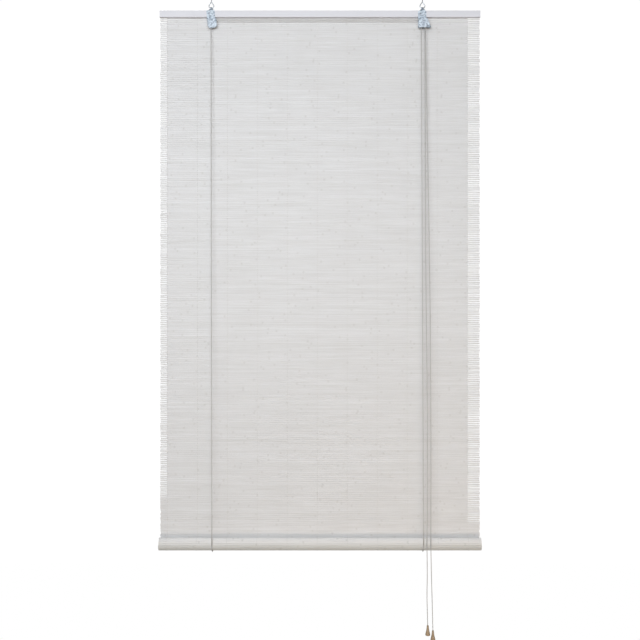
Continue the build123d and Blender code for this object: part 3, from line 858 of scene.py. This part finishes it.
def smooth_copy(node: str, finish: Finish, piece: Piece, sharp: float = 32.0) -> Object:
    """A merged, smoothly shaded copy of a CAD node, which it stands for.

    Args:
        node: The CAD node's name.
        finish: The copy's finish.
        piece: Where the copy goes.
        sharp: The angle in degrees above which an edge stays sharp.

    Returns:
        The copy. Each face keeps how far it looks sideways.
    """
    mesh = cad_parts[node].data.copy()
    mesh.materials.clear()
    mesh.materials.append(finish.material())
    work = bmesh.new()
    work.from_mesh(mesh)
    bmesh.ops.remove_doubles(work, verts=work.verts, dist=1e-6)
    for face in work.faces:
        face.smooth, face.material_index = True, 0
    for edge in work.edges:
        if len(edge.link_faces) != 2 or edge.calc_face_angle(0.0) > math.radians(sharp):
            edge.smooth = False
    work.to_mesh(mesh)
    work.free()
    if mesh.has_custom_normals:
        mesh.attributes.remove(mesh.attributes["custom_normal"])
    # Kept so that the zinc sheet can paint shade on its flanks.
    sideways = mesh.attributes.new("side_face", "FLOAT", "FACE")
    sideways.data.foreach_set("value", [abs(face.normal.x) for face in mesh.polygons])
    return piece.settle(linked(node + "_finished", mesh))


# ---- growing trees
class GrowingTree:
    """A Geometry Nodes tree with named inputs, which ends in Realize Instances and Set Material."""

    title = ""
    takes: dict[str, str] = {}

    def __init__(self) -> None:
        """Builds the tree's interface and then its nodes."""
        self.tree = bpy.data.node_groups.new(self.title, "GeometryNodeTree")
        self.tree.is_modifier = True
        open_sockets(self.tree, "INPUT", {"Geometry": "Geometry", **self.takes, "Material": "Material"})
        open_sockets(self.tree, "OUTPUT", {"Geometry": "Geometry"})
        self.w = Wiring(self.tree)
        self.given = self.w.add("NodeGroupInput").outputs
        self.w.add("NodeGroupOutput", {0: self.grow()})

    def grow(self) -> Socket:
        """Adds the nodes and returns the finished geometry."""
        raise NotImplementedError

    def random(self, low: Any, high: Any, seed: int, vector: bool = False) -> Socket:
        """A random value for each point.

        Args:
            low: The least that it can be.
            high: The most.
            seed: A fixed seed, added to the tree's own.
            vector: Whether it has three parts.

        Returns:
            The value.
        """
        total = self.w.plus(self.given["Seed"], float(seed))
        kind = {"data_type": "FLOAT_VECTOR" if vector else "FLOAT"}
        ports = {0: low, 1: high} if vector else {2: low, 3: high}
        return self.w.add("FunctionNodeRandomValue", {**ports, 8: total}, **kind).outputs[0 if vector else 1]

    def store(self, geometry: Socket, name: str, value: Socket, vector: bool = False) -> Socket:
        """Keeps a value on each point under a name.

        Args:
            geometry: The points.
            name: The value's name.
            value: The value.
            vector: Whether it has three parts.

        Returns:
            The points with the value on them.
        """
        kind = "FLOAT_VECTOR" if vector else "FLOAT"
        inputs = {"Geometry": geometry, "Name": name, "Value": value}
        return self.w.add("GeometryNodeStoreNamedAttribute", inputs, data_type=kind, domain="POINT").outputs[0]

    def stored(self, name: str, vector: bool = False) -> Socket:
        """Reads a value that was kept on each point."""
        kind = "FLOAT_VECTOR" if vector else "FLOAT"
        return self.w.add("GeometryNodeInputNamedAttribute", {"Name": name}, data_type=kind).outputs[0]

    def place(self) -> Sockets:
        """The three parts of each point's place."""
        return self.w.split(self.w.add("GeometryNodeInputPosition").outputs[0])

    def points(self, **inputs: Any) -> Socket:
        """A line of points, one for each row."""
        wanted = {"Count": self.given["Rows"], **inputs}
        return self.w.add("GeometryNodeMeshLine", wanted, mode="OFFSET", count_mode="TOTAL").outputs[0]

    def copies(self, points: Socket, **inputs: Any) -> Socket:
        """A real copy of the blank on each point."""
        wanted = {"Points": points, "Instance": self.given["Geometry"], **inputs}
        return self.real(self.w.add("GeometryNodeInstanceOnPoints", wanted).outputs[0])

    def real(self, geometry: Socket) -> Socket:
        """Makes instances real."""
        return self.w.add("GeometryNodeRealizeInstances", {0: geometry}).outputs[0]

    def finished(self, geometry: Socket) -> Socket:
        """Sets the material on the finished geometry."""
        inputs = {"Geometry": geometry, "Material": self.given["Material"]}
        return self.w.add("GeometryNodeSetMaterial", inputs).outputs[0]


class LaidRows(GrowingTree):
    """Repeats a blank down the screen. Its free ends splay, narrow and stop short, each by chance."""

    title = "Laid rows"
    takes = {
        "Rows": "Int",
        **numbers("Pitch", "First", "Half Length"),
        **numbers("Left Fringe", "Right Fringe", "Left Closed", "Right Closed"),
        **numbers("Narrowing", "Splay", "Short", "Wave", "Seed"),
    }

    def grow(self) -> Socket:
        """Lays the rows and then moves their points.

        Returns:
            The finished geometry.
        """
        w, given = self.w, self.given
        start, step = w.join(0.0, 0.0, given["First"]), w.join(0.0, 0.0, w.times(given["Pitch"], -1.0))
        points = self.points(**{"Start Location": start, "Offset": step})
        points = self.store(points, "row_middle", self.place()[2])
        points = self.store(points, "slat_tone", self.random(0.0, 1.0, 1))
        for seed, name in ((2, "left_chance"), (3, "right_chance")):
            points = self.store(points, name, self.random((0, 0, 0), (1, 1, 1), seed, True), True)
        rows = self.copies(points)
        place, middle = self.place(), self.stored("row_middle")
        drift = w.noise(w.join(w.times(place[0], 5.0), 0.0, w.times(middle, 370.0)), 1.0)
        moves = [0.0, 0.0, w.times(w.minus(drift, 0.5), given["Wave"])]
        for side, sign in (("Left", -1.0), ("Right", 1.0)):
            self.shape_end(moves, place, middle, side, sign)
        shaped = w.add("GeometryNodeSetPosition", {"Geometry": rows, "Offset": w.join(*moves)}).outputs[0]
        return self.finished(shaped)

    def shape_end(self, moves: list, place: Sockets, middle: Socket, side: str, sign: float) -> None:
        """Adds one end's share to the points' moves.

        Args:
            moves: The moves along X, Y and Z so far.
            place: The three parts of the points' place.
            middle: The height of the row's middle.
            side: The end's name.
            sign: Which way the end lies along X.
        """
        w, given = self.w, self.given
        fringe = given[side + " Fringe"]
        reach = w.minus(w.times(place[0], sign), given["Half Length"])
        share = w.add("ShaderNodeClamp", {0: w.math("DIVIDE", w.plus(reach, fringe), fringe)}).outputs[0]
        chance = w.split(self.stored(side.lower() + "_chance", True))
        opening = w.ramp(w.minus(middle, given[side + " Closed"]), 0.0, 0.03)
        bunch = w.ramp(w.noise(w.join(sign * 3.0, 0.0, w.times(middle, 26.0)), 1.0), 0.35, 0.65)
        thin = w.times(w.blend(chance[0], 0.75, w.blend(bunch, 0.5, 0.38)), opening)
        thin = w.times(w.minus(place[2], middle), w.times(thin, given["Narrowing"]))
        moves[2] = w.plus(moves[2], w.times(thin, w.times(w.ramp(share, 0.0, 0.09), -1.0)))
        tip = w.times(w.times(w.minus(chance[1], 0.5), given["Splay"]), w.blend(opening, 0.8, 0.2))
        tip = w.times(tip, share)
        moves[2] = w.plus(moves[2], tip)
        moves[1] = w.plus(moves[1], w.times(tip, 0.4))
        cut = w.times(w.math("POWER", chance[2], 2.0), given["Short"])
        ends = w.math("GREATER_THAN", share, 0.8)
        moves[0] = w.plus(moves[0], w.times(w.times(cut, ends), -sign))


class WoundRows(GrowingTree):
    """Repeats a blank along a spiral about X, which starts at the roll's back and goes under it."""

    title = "Wound rows"
    takes = {"Rows": "Int", "Centre": "Vector", **numbers("Pitch", "Radius", "Turn Pitch", "Jitter", "Seed")}

    def grow(self) -> Socket:
        """Works out each row's turn and radius from its number.

        Returns:
            The finished geometry.
        """
        w, given = self.w, self.given
        line = self.points()
        number = w.add("GeometryNodeInputIndex").outputs[0]
        run = w.times(w.plus(number, 0.5), given["Pitch"])
        fall = w.math("DIVIDE", given["Turn Pitch"], math.tau)
        square = w.times(given["Radius"], given["Radius"])
        inside = w.minus(square, w.times(w.times(run, fall), 2.0))
        turn = w.math("DIVIDE", w.minus(given["Radius"], w.math("SQRT", inside)), fall)
        jitter = w.times(given["Jitter"], self.random(-1.0, 1.0, 4))
        radius = w.plus(w.minus(given["Radius"], w.times(fall, turn)), jitter)
        back = w.times(radius, w.math("COSINE", turn))
        down = w.times(w.times(radius, w.math("SINE", turn)), -1.0)
        place = w.vector("ADD", given["Centre"], w.join(0.0, back, down))
        points = w.add("GeometryNodeSetPosition", {"Geometry": line, "Position": place}).outputs[0]
        points = self.store(points, "slat_tone", self.random(0.0, 1.0, 1))
        turned = w.join(w.times(turn, -1.0), 0.0, 0.0)
        shorter = w.join(w.minus(1.0, self.random(0.0, 0.004, 5)), 1.0, 1.0)
        return self.finished(self.copies(points, Rotation=turned, Scale=shorter))


class ThreadTurns(GrowingTree):
    """Winds a sharp ridge round a shank that stands along Z."""

    title = "Thread turns"
    takes = {"Foot": "Vector", **numbers("Turns", "Radius", "Height", "Depth")}

    def grow(self) -> Socket:
        """Sweeps a small square along a helix.

        Returns:
            The finished geometry.
        """
        w, given = self.w, self.given
        root = w.minus(given["Radius"], given["Depth"])
        coil = {"Resolution": 14, "Rotations": given["Turns"], "Start Radius": root, "End Radius": root}
        helix = w.add("GeometryNodeCurveSpiral", {**coil, "Height": given["Height"]}).outputs[0]
        square = {"Resolution": 4, "Radius": given["Depth"]}
        ridge = w.add("GeometryNodeCurvePrimitiveCircle", square).outputs[0]
        sweep = {"Curve": helix, "Profile Curve": ridge, "Fill Caps": True}
        swept = w.add("GeometryNodeCurveToMesh", sweep).outputs[0]
        moved = w.add("GeometryNodeTransform", {"Geometry": swept, "Translation": given["Foot"]}).outputs[0]
        both = w.add("GeometryNodeJoinGeometry")
        for part in (moved, given["Geometry"]):
            w.tree.links.new(part, both.inputs[0])
        return self.finished(self.real(both.outputs[0]))


# ---- blanks
@dataclass(frozen=True)
class SlatBlank:
    """One split slat before it is repeated: a flat bar with eased edges."""

    length: float
    width: float
    thick: float
    ease: float = 0.00045

    def build(self, fringe_left: float, fringe_right: float, finish: Finish) -> Object:
        """Makes the blank, with most of its stations where its ends will be shaped.

        Args:
            fringe_left: From the left end to the outer thread line.
            fringe_right: And from the right end.
            finish: Its finish.

        Returns:
            The blank, with its middle at the origin.
        """
        half, across, deep = self.length / 2, self.width / 2, self.thick / 2
        flank, face = deep - self.ease, across - self.ease
        shares = (0.0, 0.1, 0.5, 0.9, 1.0)
        stations = [-half + fringe_left * share for share in shares]
        stations += [-half * 0.5, 0.0, half * 0.5]
        stations += [half - fringe_right * share for share in reversed(shares)]
        outline = [(-deep, -face), (-deep, face), (-flank, across), (flank, across)]
        outline += [(deep, face), (deep, -face), (flank, -across), (-flank, -across)]
        points = [(x, y, z) for x in stations for y, z in outline]
        faces = [(first, *reversed(rest)) for first, *rest in ring_faces(len(stations), len(outline))]
        return mesh_object("slat_blank", points, faces, finish, smooth=False)


@dataclass(frozen=True)
class StitchBlank:
    """Two strands that pass a slat, one each side, and change sides in the gaps."""

    pitch: float
    slat_width: float
    slat_thick: float
    strand: float = 0.00024
    spread: float = 0.0004

    def build(self, places: list[float], finish: Finish) -> Object:
        """Makes one stitch at each of the thread lines' places along X.

        Args:
            places: The thread lines' places.
            finish: Their finish.

        Returns:
            The stitches about the origin.
        """
        deep, edge, side = self.slat_thick / 2 + self.strand, self.slat_width / 2 * 0.93, self.spread
        parts = []
        for x in places:
            for face in (-1.0, 1.0):
                route = [
                    (x - face * side, 0.0, self.pitch / 2),
                    (x - face * side * 0.9, face * deep, edge),
                    (x, face * (deep + self.strand * 0.35), 0.0),
                    (x + face * side * 0.9, face * deep, -edge),
                    (x + face * side, 0.0, -self.pitch / 2),
                ]
                parts.append(tube("strand", [Vector(p) for p in route], self.strand, finish, 5))
        return joined("stitch_blank", parts)


# ---- sub-assemblies
class Screen:
    """The flat screen: its slats and the thread lines that tie them."""

    pitch = 0.00593
    gap = 0.00053
    slat_width = 0.0058
    line_spacing = 0.0844
    ends = {
        "Narrowing": 0.31,
        "Splay": 0.0012,
        "Short": 0.0018,
        "Wave": 0.0003,
        "Left Closed": -1.41,
        "Right Closed": -1.48,
    }

    def __init__(self) -> None:
        """Reads the screen's edges and its thread lines from the CAD nodes."""
        low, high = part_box("screen_slats")
        self.length, self.thick, self.top = high.x - low.x, high.y - low.y, high.z
        self.rows = round((high.z - low.z + self.gap) / self.pitch)
        first, last = (corner.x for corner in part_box("warp_threads"))
        count = round((last - first) / self.line_spacing) + 1
        start = first + (last - first - (count - 1) * self.line_spacing) / 2
        self.lines = [start + i * self.line_spacing for i in range(count)]
        self.fringes = (self.lines[0] - low.x, high.x - self.lines[-1])
        self.stitch = StitchBlank(self.pitch, self.pitch - self.gap, self.thick)

    def lay(self, rows: LaidRows, blank: Object, names: tuple, finish: Finish, values: dict) -> None:
        """Lays a blank on every row, as one piece on the head.

        Args:
            rows: The tree that lays it.
            blank: What is repeated.
            names: The piece's name, its slot and the CAD node that it stands for.
            finish: Its finish.
            values: The tree's inputs beside the ones that every piece of the screen has.
        """
        shared = {
            "Rows": self.rows,
            "Pitch": self.pitch,
            "First": self.top - (self.pitch - self.gap) / 2,
            "Half Length": self.length / 2,
            "Left Fringe": self.fringes[0],
            "Right Fringe": self.fringes[1],
            "Material": finish.material(),
        }
        name, slot, node = names
        drawn_up(slot, node, self.top).settle(grown(name, blank, rows.tree, {**shared, **values}))

    def build(self, rows: LaidRows) -> None:
        """Lays the slats, and one thread line at a time.

        Args:
            rows: The tree that lays them.
        """
        slat = SlatBlank(self.length, self.slat_width, self.thick).build(*self.fringes, BAMBOO)
        names = ("split_slats", "bamboo_slats", "screen_slats")
        self.lay(rows, slat, names, BAMBOO, {**self.ends, "Seed": 3.0})
        for i, x in enumerate(self.lines):
            names = ("thread_line_%02d" % (i + 1), "thread", "warp_threads")
            self.lay(rows, self.stitch.build([x], WARP_YARN), names, WARP_YARN, {"Seed": 20.0 + i})


class Roll:
    """The wound end of the screen on its rod."""

    turn_pitch = 0.0019
    turns = 3.0
    slat_width = 0.00545
    slat_ease = 0.0003
    unevenness = 0.00012
    stitched_rows = 20

    def build(self, screen: Screen, rows: WoundRows) -> None:
        """Winds the slats, and their stitches round the outer turn.

        Args:
            screen: The flat screen, which the roll goes on from.
            rows: The tree that winds them.
        """
        middle = ROLL_RADIUS - screen.thick / 2
        length = math.tau * self.turns * middle - math.pi * self.turn_pitch * self.turns**2
        values = {
            "Rows": int(length / screen.pitch),
            "Pitch": screen.pitch,
            "Radius": middle,
            "Turn Pitch": self.turn_pitch,
            "Centre": Vector((0.0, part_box("rolled_screen")[1].y - ROLL_RADIUS, ROLL_Z)),
            "Jitter": self.unevenness,
            "Seed": 8.0,
            "Material": WOUND_BAMBOO.material(),
        }
        slat = SlatBlank(screen.length, self.slat_width, screen.thick, self.slat_ease)
        slats = grown("wound_slats", slat.build(*screen.fringes, WOUND_BAMBOO), rows.tree, values)
        Piece("roll", "rolled_bamboo", ("rolled_screen",)).settle(slats)
        values |= {"Rows": self.stitched_rows, "Jitter": 0.0, "Material": WARP_YARN.material()}
        threads = grown("wound_threads", screen.stitch.build(screen.lines, WARP_YARN), rows.tree, values)
        Piece("roll", "thread").settle(threads)
        smooth_copy("bottom_rod", ROD_WOOD, Piece("roll", "rod_wood", ("bottom_rod",)))


class Side(Enum):
    """The two brackets, by the names that their nodes start with."""

    LEFT = "left"
    RIGHT = "right"


def build_head() -> None:
    """Dresses the batten, the brackets, and each of their hard pieces."""
    wear = (
        ("head_batten", BATTEN_WOOD, "batten_wood", "head"),
        *((node, ZINC_SHEET, "zinc_steel", "head") for node in ("pulley_bracket", "lock_bracket")),
        ("bracket_screws", ZINC_SCREW, "zinc_steel", "head"),
        *((node + "_pulley_rivet", ZINC_SCREW, "zinc_steel", "head") for node in ("left", "lock")),
        ("lock_roller_pin", ZINC_SCREW, "zinc_steel", "lock_pin"),
        ("lock_roller", ZINC_WIRE, "zinc_steel", "lock_roller"),
        *((node, NYLON, "wheel_nylon", node) for node in ("left_pulley", "lock_pulley")),
    )
    for node, finish, slot, body in wear:
        smooth_copy(node, finish, Piece(body, slot, (node,)))
    for node in ("screen_staples", "cord_staples"):
        smooth_copy(node, STAPLE_WIRE, Piece("head", "staple_steel", (node,)), sharp=20.0)


@dataclass(frozen=True)
class ScrewEye:
    """A wire eye with a pear-shaped ring and a threaded shank."""

    side: Side
    wire: float = 0.0013
    ring: float = 0.0066
    apex: float = 0.0113
    centre_z: float = -0.018
    thread_start: float = -0.002
    thread_length: float = 0.014
    crest: float = 0.0015
    ridge: float = 0.00034
    root: float = 0.0012
    turns: float = 9.0
    step: float = 0.0006
    neck: float = 0.0014
    blunt: float = 0.0004
    point: float = 0.00005

    def bend_ring(self, x: float, y: float) -> Object:
        """Bends the ring from one wire, from its apex round and back.

        Args:
            x: The ring's place along X.
            y: And along Y.

        Returns:
            The ring.
        """
        lean = math.acos(self.ring / self.apex)
        reach, top = self.ring / math.cos(math.pi / 8), (x, y, self.centre_z + self.apex)
        route = [top]
        for i in range(8):
            corner = math.pi / 2 + lean * 0.97 + i * (math.tau - 2 * lean) / 7
            route.append((x + reach * math.cos(corner), y, self.centre_z + reach * math.sin(corner)))
        return tube("ring", nurbs_line([*route, top], 10), self.wire, ZINC_WIRE, 14)

    def build(self, thread: ThreadTurns) -> None:
        """Bends the ring, raises the shank and winds its thread.

        Args:
            thread: The tree that winds it.
        """
        node = self.side.value + "_screw_eye"
        low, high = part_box(node)
        x, y, tip = (low.x + high.x) / 2, (low.y + high.y) / 2, high.z
        start = self.thread_start
        foot, top = self.centre_z + self.apex - self.wire, start + self.thread_length
        heights = [
            (foot, self.step),
            (foot + self.step, self.wire * 0.95),
            (foot + self.neck, self.wire),
            (start, self.wire),
            (start + self.step, self.root),
            (top, self.root),
            (tip - self.step, self.blunt),
            (tip, self.point),
        ]
        ring, shank = self.bend_ring(x, y), lathe("shank", Vector((x, y, 0.0)), heights, ZINC_WIRE)
        values = {
            "Turns": self.turns,
            "Radius": self.crest,
            "Height": self.thread_length - 2 * self.step,
            "Depth": self.ridge,
            "Foot": Vector((x, y, start + self.step)),
            "Material": ZINC_WIRE.material(),
        }
        eye = grown(self.side.value + "_wire_eye", joined("eye_blank", [ring, shank]), thread.tree, values)
        Piece("lintel_eyes", "zinc_steel", (node,)).settle(eye)


@dataclass(frozen=True)
class PullCord:
    """One pull cord's bends, its bell and the knot inside it.

    A bend above the roll is a move along X from the lock's outlet and a share of the way down to the roll. One
    below it is a move along X from the place where the cord passes the roll, and a depth under the roll's axis.
    """

    letter: str
    on_roll: float
    upper: tuple[tuple[float, float], ...]
    lower: tuple[tuple[float, float], ...]
    length: float = 0.028
    hollow: float = 0.011
    knot_radius: float = 0.0029

    def knot_top(self, bell_top: float) -> float:
        """The height where the cord goes into the knot."""
        return bell_top - self.length + self.hollow - self.knot_radius * 0.3

    def build_tassel(self, cord: float) -> list[Object]:
        """Turns the bell and ties the knot.

        Args:
            cord: The cord's radius.

        Returns:
            The bell and the knot.
        """
        body, node = "tassel_" + self.letter, "tassel_knot_" + self.letter
        bell = smooth_copy(body, BELL_WOOD, Piece(body, "tassel_wood", (body,)), 40.0)
        low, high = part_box(node)
        centre = Vector(((low.x + high.x) / 2, (low.y + high.y) / 2, low.z + self.knot_radius))
        tied = knot(body + "_knot", centre, self.knot_radius, cord * 0.85, 0.8)
        return [bell, Piece(body, "cord", (node,)).settle(tied)]


@dataclass(frozen=True)
class Cords:
    """The lift cords and the pull cords. Every route's points are in metres."""

    radius: float = 0.0011
    turn: float = 0.0066
    axle_z: float = -0.066
    rear_y: float = -0.0145
    front_y: float = -0.0176
    left_x: float = -0.2986
    lock_x: float = 0.29
    roller_z: float = -0.07254
    roller_turn: float = 0.0037
    exit_x: float = 0.29426
    exit_z: float = -0.0855
    roll_y: float = -0.01765
    bight: float = 0.0202
    cord_top: float = -0.036165
    half_way: float = -0.8
    left_inset: float = 0.0014
    lock_inset: float = 0.003
    level_from: float = 0.013
    gap: float = 0.0001
    end_knot: float = 0.0024

    def cord_xs(self) -> dict[Side, float]:
        """Where each lift cord runs."""
        return {Side.LEFT: self.left_x - self.left_inset, Side.RIGHT: self.lock_x - self.lock_inset}

    def run(self, name: str, route: list[Point], piece: Piece, sides: int = 10) -> Object:
        """One stretch of cord along a smooth line."""
        return piece.settle(tube(name, nurbs_line(route), self.radius, CORD_YARN, sides))

    def declare(self, obj: Object, route: list[Point], far_end: str, **more: Any) -> None:
        """Works out the smooth line that a stretch of cord follows, and keeps nothing of it.

        Args:
            obj: The cord's mesh. Not used.
            route: Its control points, from where it leaves the object.
            far_end: What is on its other end. Not used.
        """
        line = nurbs_line(route)

    def build_lift(self) -> None:
        """The two lift cords: down the back, under the roll, up the front, and through the brackets."""
        back_y, front_y, corner = self.roll_y + self.bight, self.roll_y - self.bight, self.bight * CORNER
        for side, x in self.cord_xs().items():
            groove = self.rear_y if side is Side.LEFT else self.front_y
            wheel_x = (self.left_x if side is Side.LEFT else self.lock_x) - self.turn
            node = side.value + "_lift_cord_"
            back = [(x, back_y, z) for z in (self.cord_top, self.half_way, ROLL_Z + self.gap)]
            self.run(node + "back_run", back, drawn_up("cord", node + "back", self.cord_top))
            loop = [
                (x, back_y, ROLL_Z),
                (x, back_y, ROLL_Z - corner),
                (x, self.roll_y + corner, ROLL_Z - self.bight),
                (x, self.roll_y - corner, ROLL_Z - self.bight),
                (x, front_y, ROLL_Z - corner),
                (x, front_y, ROLL_Z + 2 * self.gap),
            ]
            self.run(node + "loop", loop, Piece("lift_loops", "cord", (node + "bight",)))
            front = [
                (x, front_y, ROLL_Z + 3 * self.gap),
                ((x + wheel_x) / 2, (front_y + groove) / 2, (ROLL_Z + self.axle_z) / 2),
                (wheel_x, groove, self.axle_z - self.gap),
            ]
            self.run(node + "front_run", front, drawn_up("cord", node + "front", self.axle_z))
        self.run("lift_cord_across", self.across(), Piece("head", "cord", ("left_lift_cord_cross",)), 12)
        in_lock = self.up_and_over(self.lock_x, self.front_y) + self.through(self.front_y)
        self.run("lift_cord_in_lock", in_lock, Piece("head", "cord", ("right_lift_cord_lock",)), 12)

    def up_and_over(self, x: float, y: float) -> list[Point]:
        """Goes up one side of a wheel and over its top.

        Args:
            x: The wheel's place along X.
            y: The cord's place along Y.

        Returns:
            The control points.
        """
        corner, side = self.turn * CORNER, x - self.turn
        return [
            (side, y, self.axle_z),
            (side, y, self.axle_z + corner),
            (x - corner, y, self.axle_z + self.turn),
        ]

    def through(self, y: float) -> list[Point]:
        """Ends both routes: over the lock's wheel, past the roller and down out of the housing.

        Args:
            y: The cord's place along Y.

        Returns:
            The control points.
        """
        x, z, corner = self.lock_x, self.axle_z, self.turn * CORNER
        down = self.roller_z + self.roller_turn * 0.35
        return [
            (x + corner, y, z + self.turn),
            (x + self.turn, y, z + corner),
            (x + self.turn * 0.93, y, z - corner),
            (self.exit_x, y, down),
            (self.exit_x, y, (down + self.exit_z) / 2),
            (self.exit_x, y, self.exit_z),
        ]

    def across(self) -> list[Point]:
        """Takes the left cord over its wheel and across to the lock.

        Returns:
            The control points.
        """
        y, top = self.rear_y, self.axle_z + self.turn
        level = [(self.left_x + self.level_from, y, top), (self.lock_x - self.level_from, y, top)]
        return self.up_and_over(self.left_x, y) + level + self.through(y)

    def build_pull(self, pull: PullCord) -> None:
        """A pull cord, in a stretch that ends in front of the roll and a free one below it.

        Args:
            pull: The cord's own bends.
        """
        groove = self.rear_y if pull.letter == "a" else self.front_y
        front_y, top, foot = self.roll_y - self.bight, self.exit_z - self.gap, self.exit_x + pull.on_roll
        upper = [(self.exit_x, groove, top)]
        for dx, share in pull.upper:
            upper.append((self.exit_x + dx, groove + share * (front_y - groove), top + share * (ROLL_Z - top)))
        upper.append((foot, front_y, ROLL_Z))
        lower = [(foot, front_y, ROLL_Z - self.gap)]
        lower += [(foot + dx, front_y, ROLL_Z - down) for dx, down in pull.lower]
        end = pull.knot_top(lower[-1][2])
        lower.append((lower[-1][0], front_y, end))

        node = "pull_cord_%s_upper" % pull.letter
        self.declare(self.run(node + "_run", upper, drawn_up("cord", node, self.exit_z)), upper, "object")
        node = "pull_cord_" + pull.letter
        line = nurbs_line(lower)
        obj = tube(node + "_run", line, self.radius, CORD_YARN)
        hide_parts(node)
        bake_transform(obj)
        self.declare(obj, lower, "fitting", with_pieces=pull.build_tassel(self.radius))

    def build_stopped_ends(self) -> None:
        """The knots at the batten's back where the lift cords start, one above each staple."""
        low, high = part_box("lift_cord_knots")
        y, z = (low.y + high.y) / 2, high.z - self.end_knot
        ties = [
            knot("stopped_end", Vector((x, y, z)), self.end_knot, self.radius * 0.8, 0.85)
            for x in self.cord_xs().values()
        ]
        Piece("head", "cord", ("lift_cord_knots",)).settle(joined("stopped_ends", ties))


PULL_CORDS = (
    PullCord(
        "a",
        0.0022,
        ((-0.001, 0.43), (0.0059, 0.815)),
        ((0.0017, 0.084), (-0.0004, 0.128), (0.0023, 0.2205)),
    ),
    PullCord(
        "b",
        0.013,
        ((0.0116, 0.43), (0.0142, 0.815)),
        ((0.002, 0.095), (0.0036, 0.1506), (0.0058, 0.2347)),
    ),
)


# ---- studio
@dataclass(frozen=True)
class Panel:
    """One soft panel light."""

    name: str
    place: Point
    target: Point
    size: tuple[float, float]
    power: float
    colour: Colour

    def build(self) -> None:
        """Hangs the panel, facing its target."""
        light = bpy.data.lights.new(self.name, "AREA")
        light.shape, light.size, light.size_y = "RECTANGLE", *self.size
        light.energy, light.color = self.power, self.colour
        holder = linked(self.name, light)
        holder.location = self.place
        holder.rotation_euler = (Vector(self.target) - Vector(self.place)).to_track_quat("-Z", "Y").to_euler()


@dataclass(frozen=True)
class Studio:
    """The camera, the lights and a plain white floor."""

    distance: float = 2.4
    eye_height: float = -0.9
    lens: float = 47.92
    drawn_out: float = 2.8
    floor_gap: float = 0.4
    floor_reach: float = 12.0
    white: float = 1.02
    room_light: tuple[float, float] = (0.21, 0.28)
    panels: tuple[Panel, ...] = (
        Panel("Key", (-0.45, -3.0, 0.0), (0.0, 0.0, -0.35), (2.4, 1.4), 76.0, (0.89, 0.94, 1.0)),
        Panel("Fill", (0.9, -1.6, -2.0), (0.2, 0.0, -1.5), (1.2, 1.0), 4.5, (1.0, 0.66, 0.32)),
        Panel("Low", (0.0, -3.0, -2.6), (0.0, 0.0, -0.5), (1.6, 1.0), 17.0, (1.0, 0.93, 0.86)),
        Panel("Back", (0.4, 2.4, 0.8), (0.0, 0.0, -0.9), (2.0, 2.0), 34.0, (1.0, 1.0, 1.0)),
    )

    def build(self) -> None:
        """Sets the camera, the lights and the floor up."""
        camera = bpy.data.cameras.new("Camera")
        camera.lens, camera.sensor_width = self.lens, 36.0
        holder = linked("Camera", camera)
        holder.location = (0.0, -self.distance, self.eye_height)
        holder.rotation_euler = (math.pi / 2, 0.0, 0.0)
        bpy.context.scene.camera = holder
        bpy.context.scene.view_settings.view_transform = "Standard"
        for panel in self.panels:
            panel.build()
        self.sky()
        self.floor()

    def sky(self) -> None:
        """Surrounds the blind with white that lights it softly."""
        world = bpy.data.worlds.new("White room")
        world.use_nodes = True
        world.node_tree.nodes.clear()
        w = Wiring(world.node_tree)
        seen = w.add("ShaderNodeLightPath").outputs["Is Camera Ray"]
        height = w.split(w.add("ShaderNodeTexCoord").outputs["Generated"])[2]
        strength = w.math("MAXIMUM", w.times(seen, self.white), w.ramp(height, -0.8, 0.9, *self.room_light))
        sky = w.add("ShaderNodeBackground", {"Color": solid((1.0, 1.0, 1.0)), "Strength": strength})
        w.add("ShaderNodeOutputWorld", {"Surface": sky.outputs[0]})
        bpy.context.scene.world = world

    def floor(self) -> None:
        """Lays a wide pale floor below the lowest place that the bells reach."""
        z, wide = CAD_BOX[0].z - self.drawn_out - self.floor_gap, self.floor_reach
        corners = [(-wide, -wide, z), (wide, -wide, z), (wide, wide, z), (-wide, wide, z)]
        mesh = bpy.data.meshes.new("Floor")
        mesh.from_pydata(corners, [], [(0, 1, 2, 3)])
        paint = bpy.data.materials.new("Pale floor")
        paint.use_nodes = True
        surface = paint.node_tree.nodes["Principled BSDF"]
        surface.inputs["Roughness"].default_value = 0.9
        surface.inputs["Specular IOR Level"].default_value = 0.0
        surface.inputs["Emission Color"].default_value = solid((1.0, 1.0, 1.0))
        w = Wiring(paint.node_tree)
        seen = w.add("ShaderNodeLightPath").outputs["Is Camera Ray"]
        paper = w.mix(seen, solid((0.8, 0.8, 0.8)), solid((0.0, 0.0, 0.0)))
        w.tree.links.new(paper, surface.inputs["Base Color"])
        w.tree.links.new(seen, surface.inputs["Emission Strength"])
        mesh.materials.append(paint)
        linked("Floor", mesh)


def main() -> None:
    """Builds the studio, then the cords, and then each sub-assembly from the lintel down."""
    logging.basicConfig(level=logging.INFO, format="%(message)s")
    Studio().build()
    cords = Cords()
    cords.build_lift()
    for pull in PULL_CORDS:
        cords.build_pull(pull)
    cords.build_stopped_ends()
    thread = ThreadTurns()
    for side in Side:
        ScrewEye(side).build(thread)
    build_head()
    screen = Screen()
    screen.build(LaidRows())
    Roll().build(screen, WoundRows())


if __name__ == "__main__":
    main()
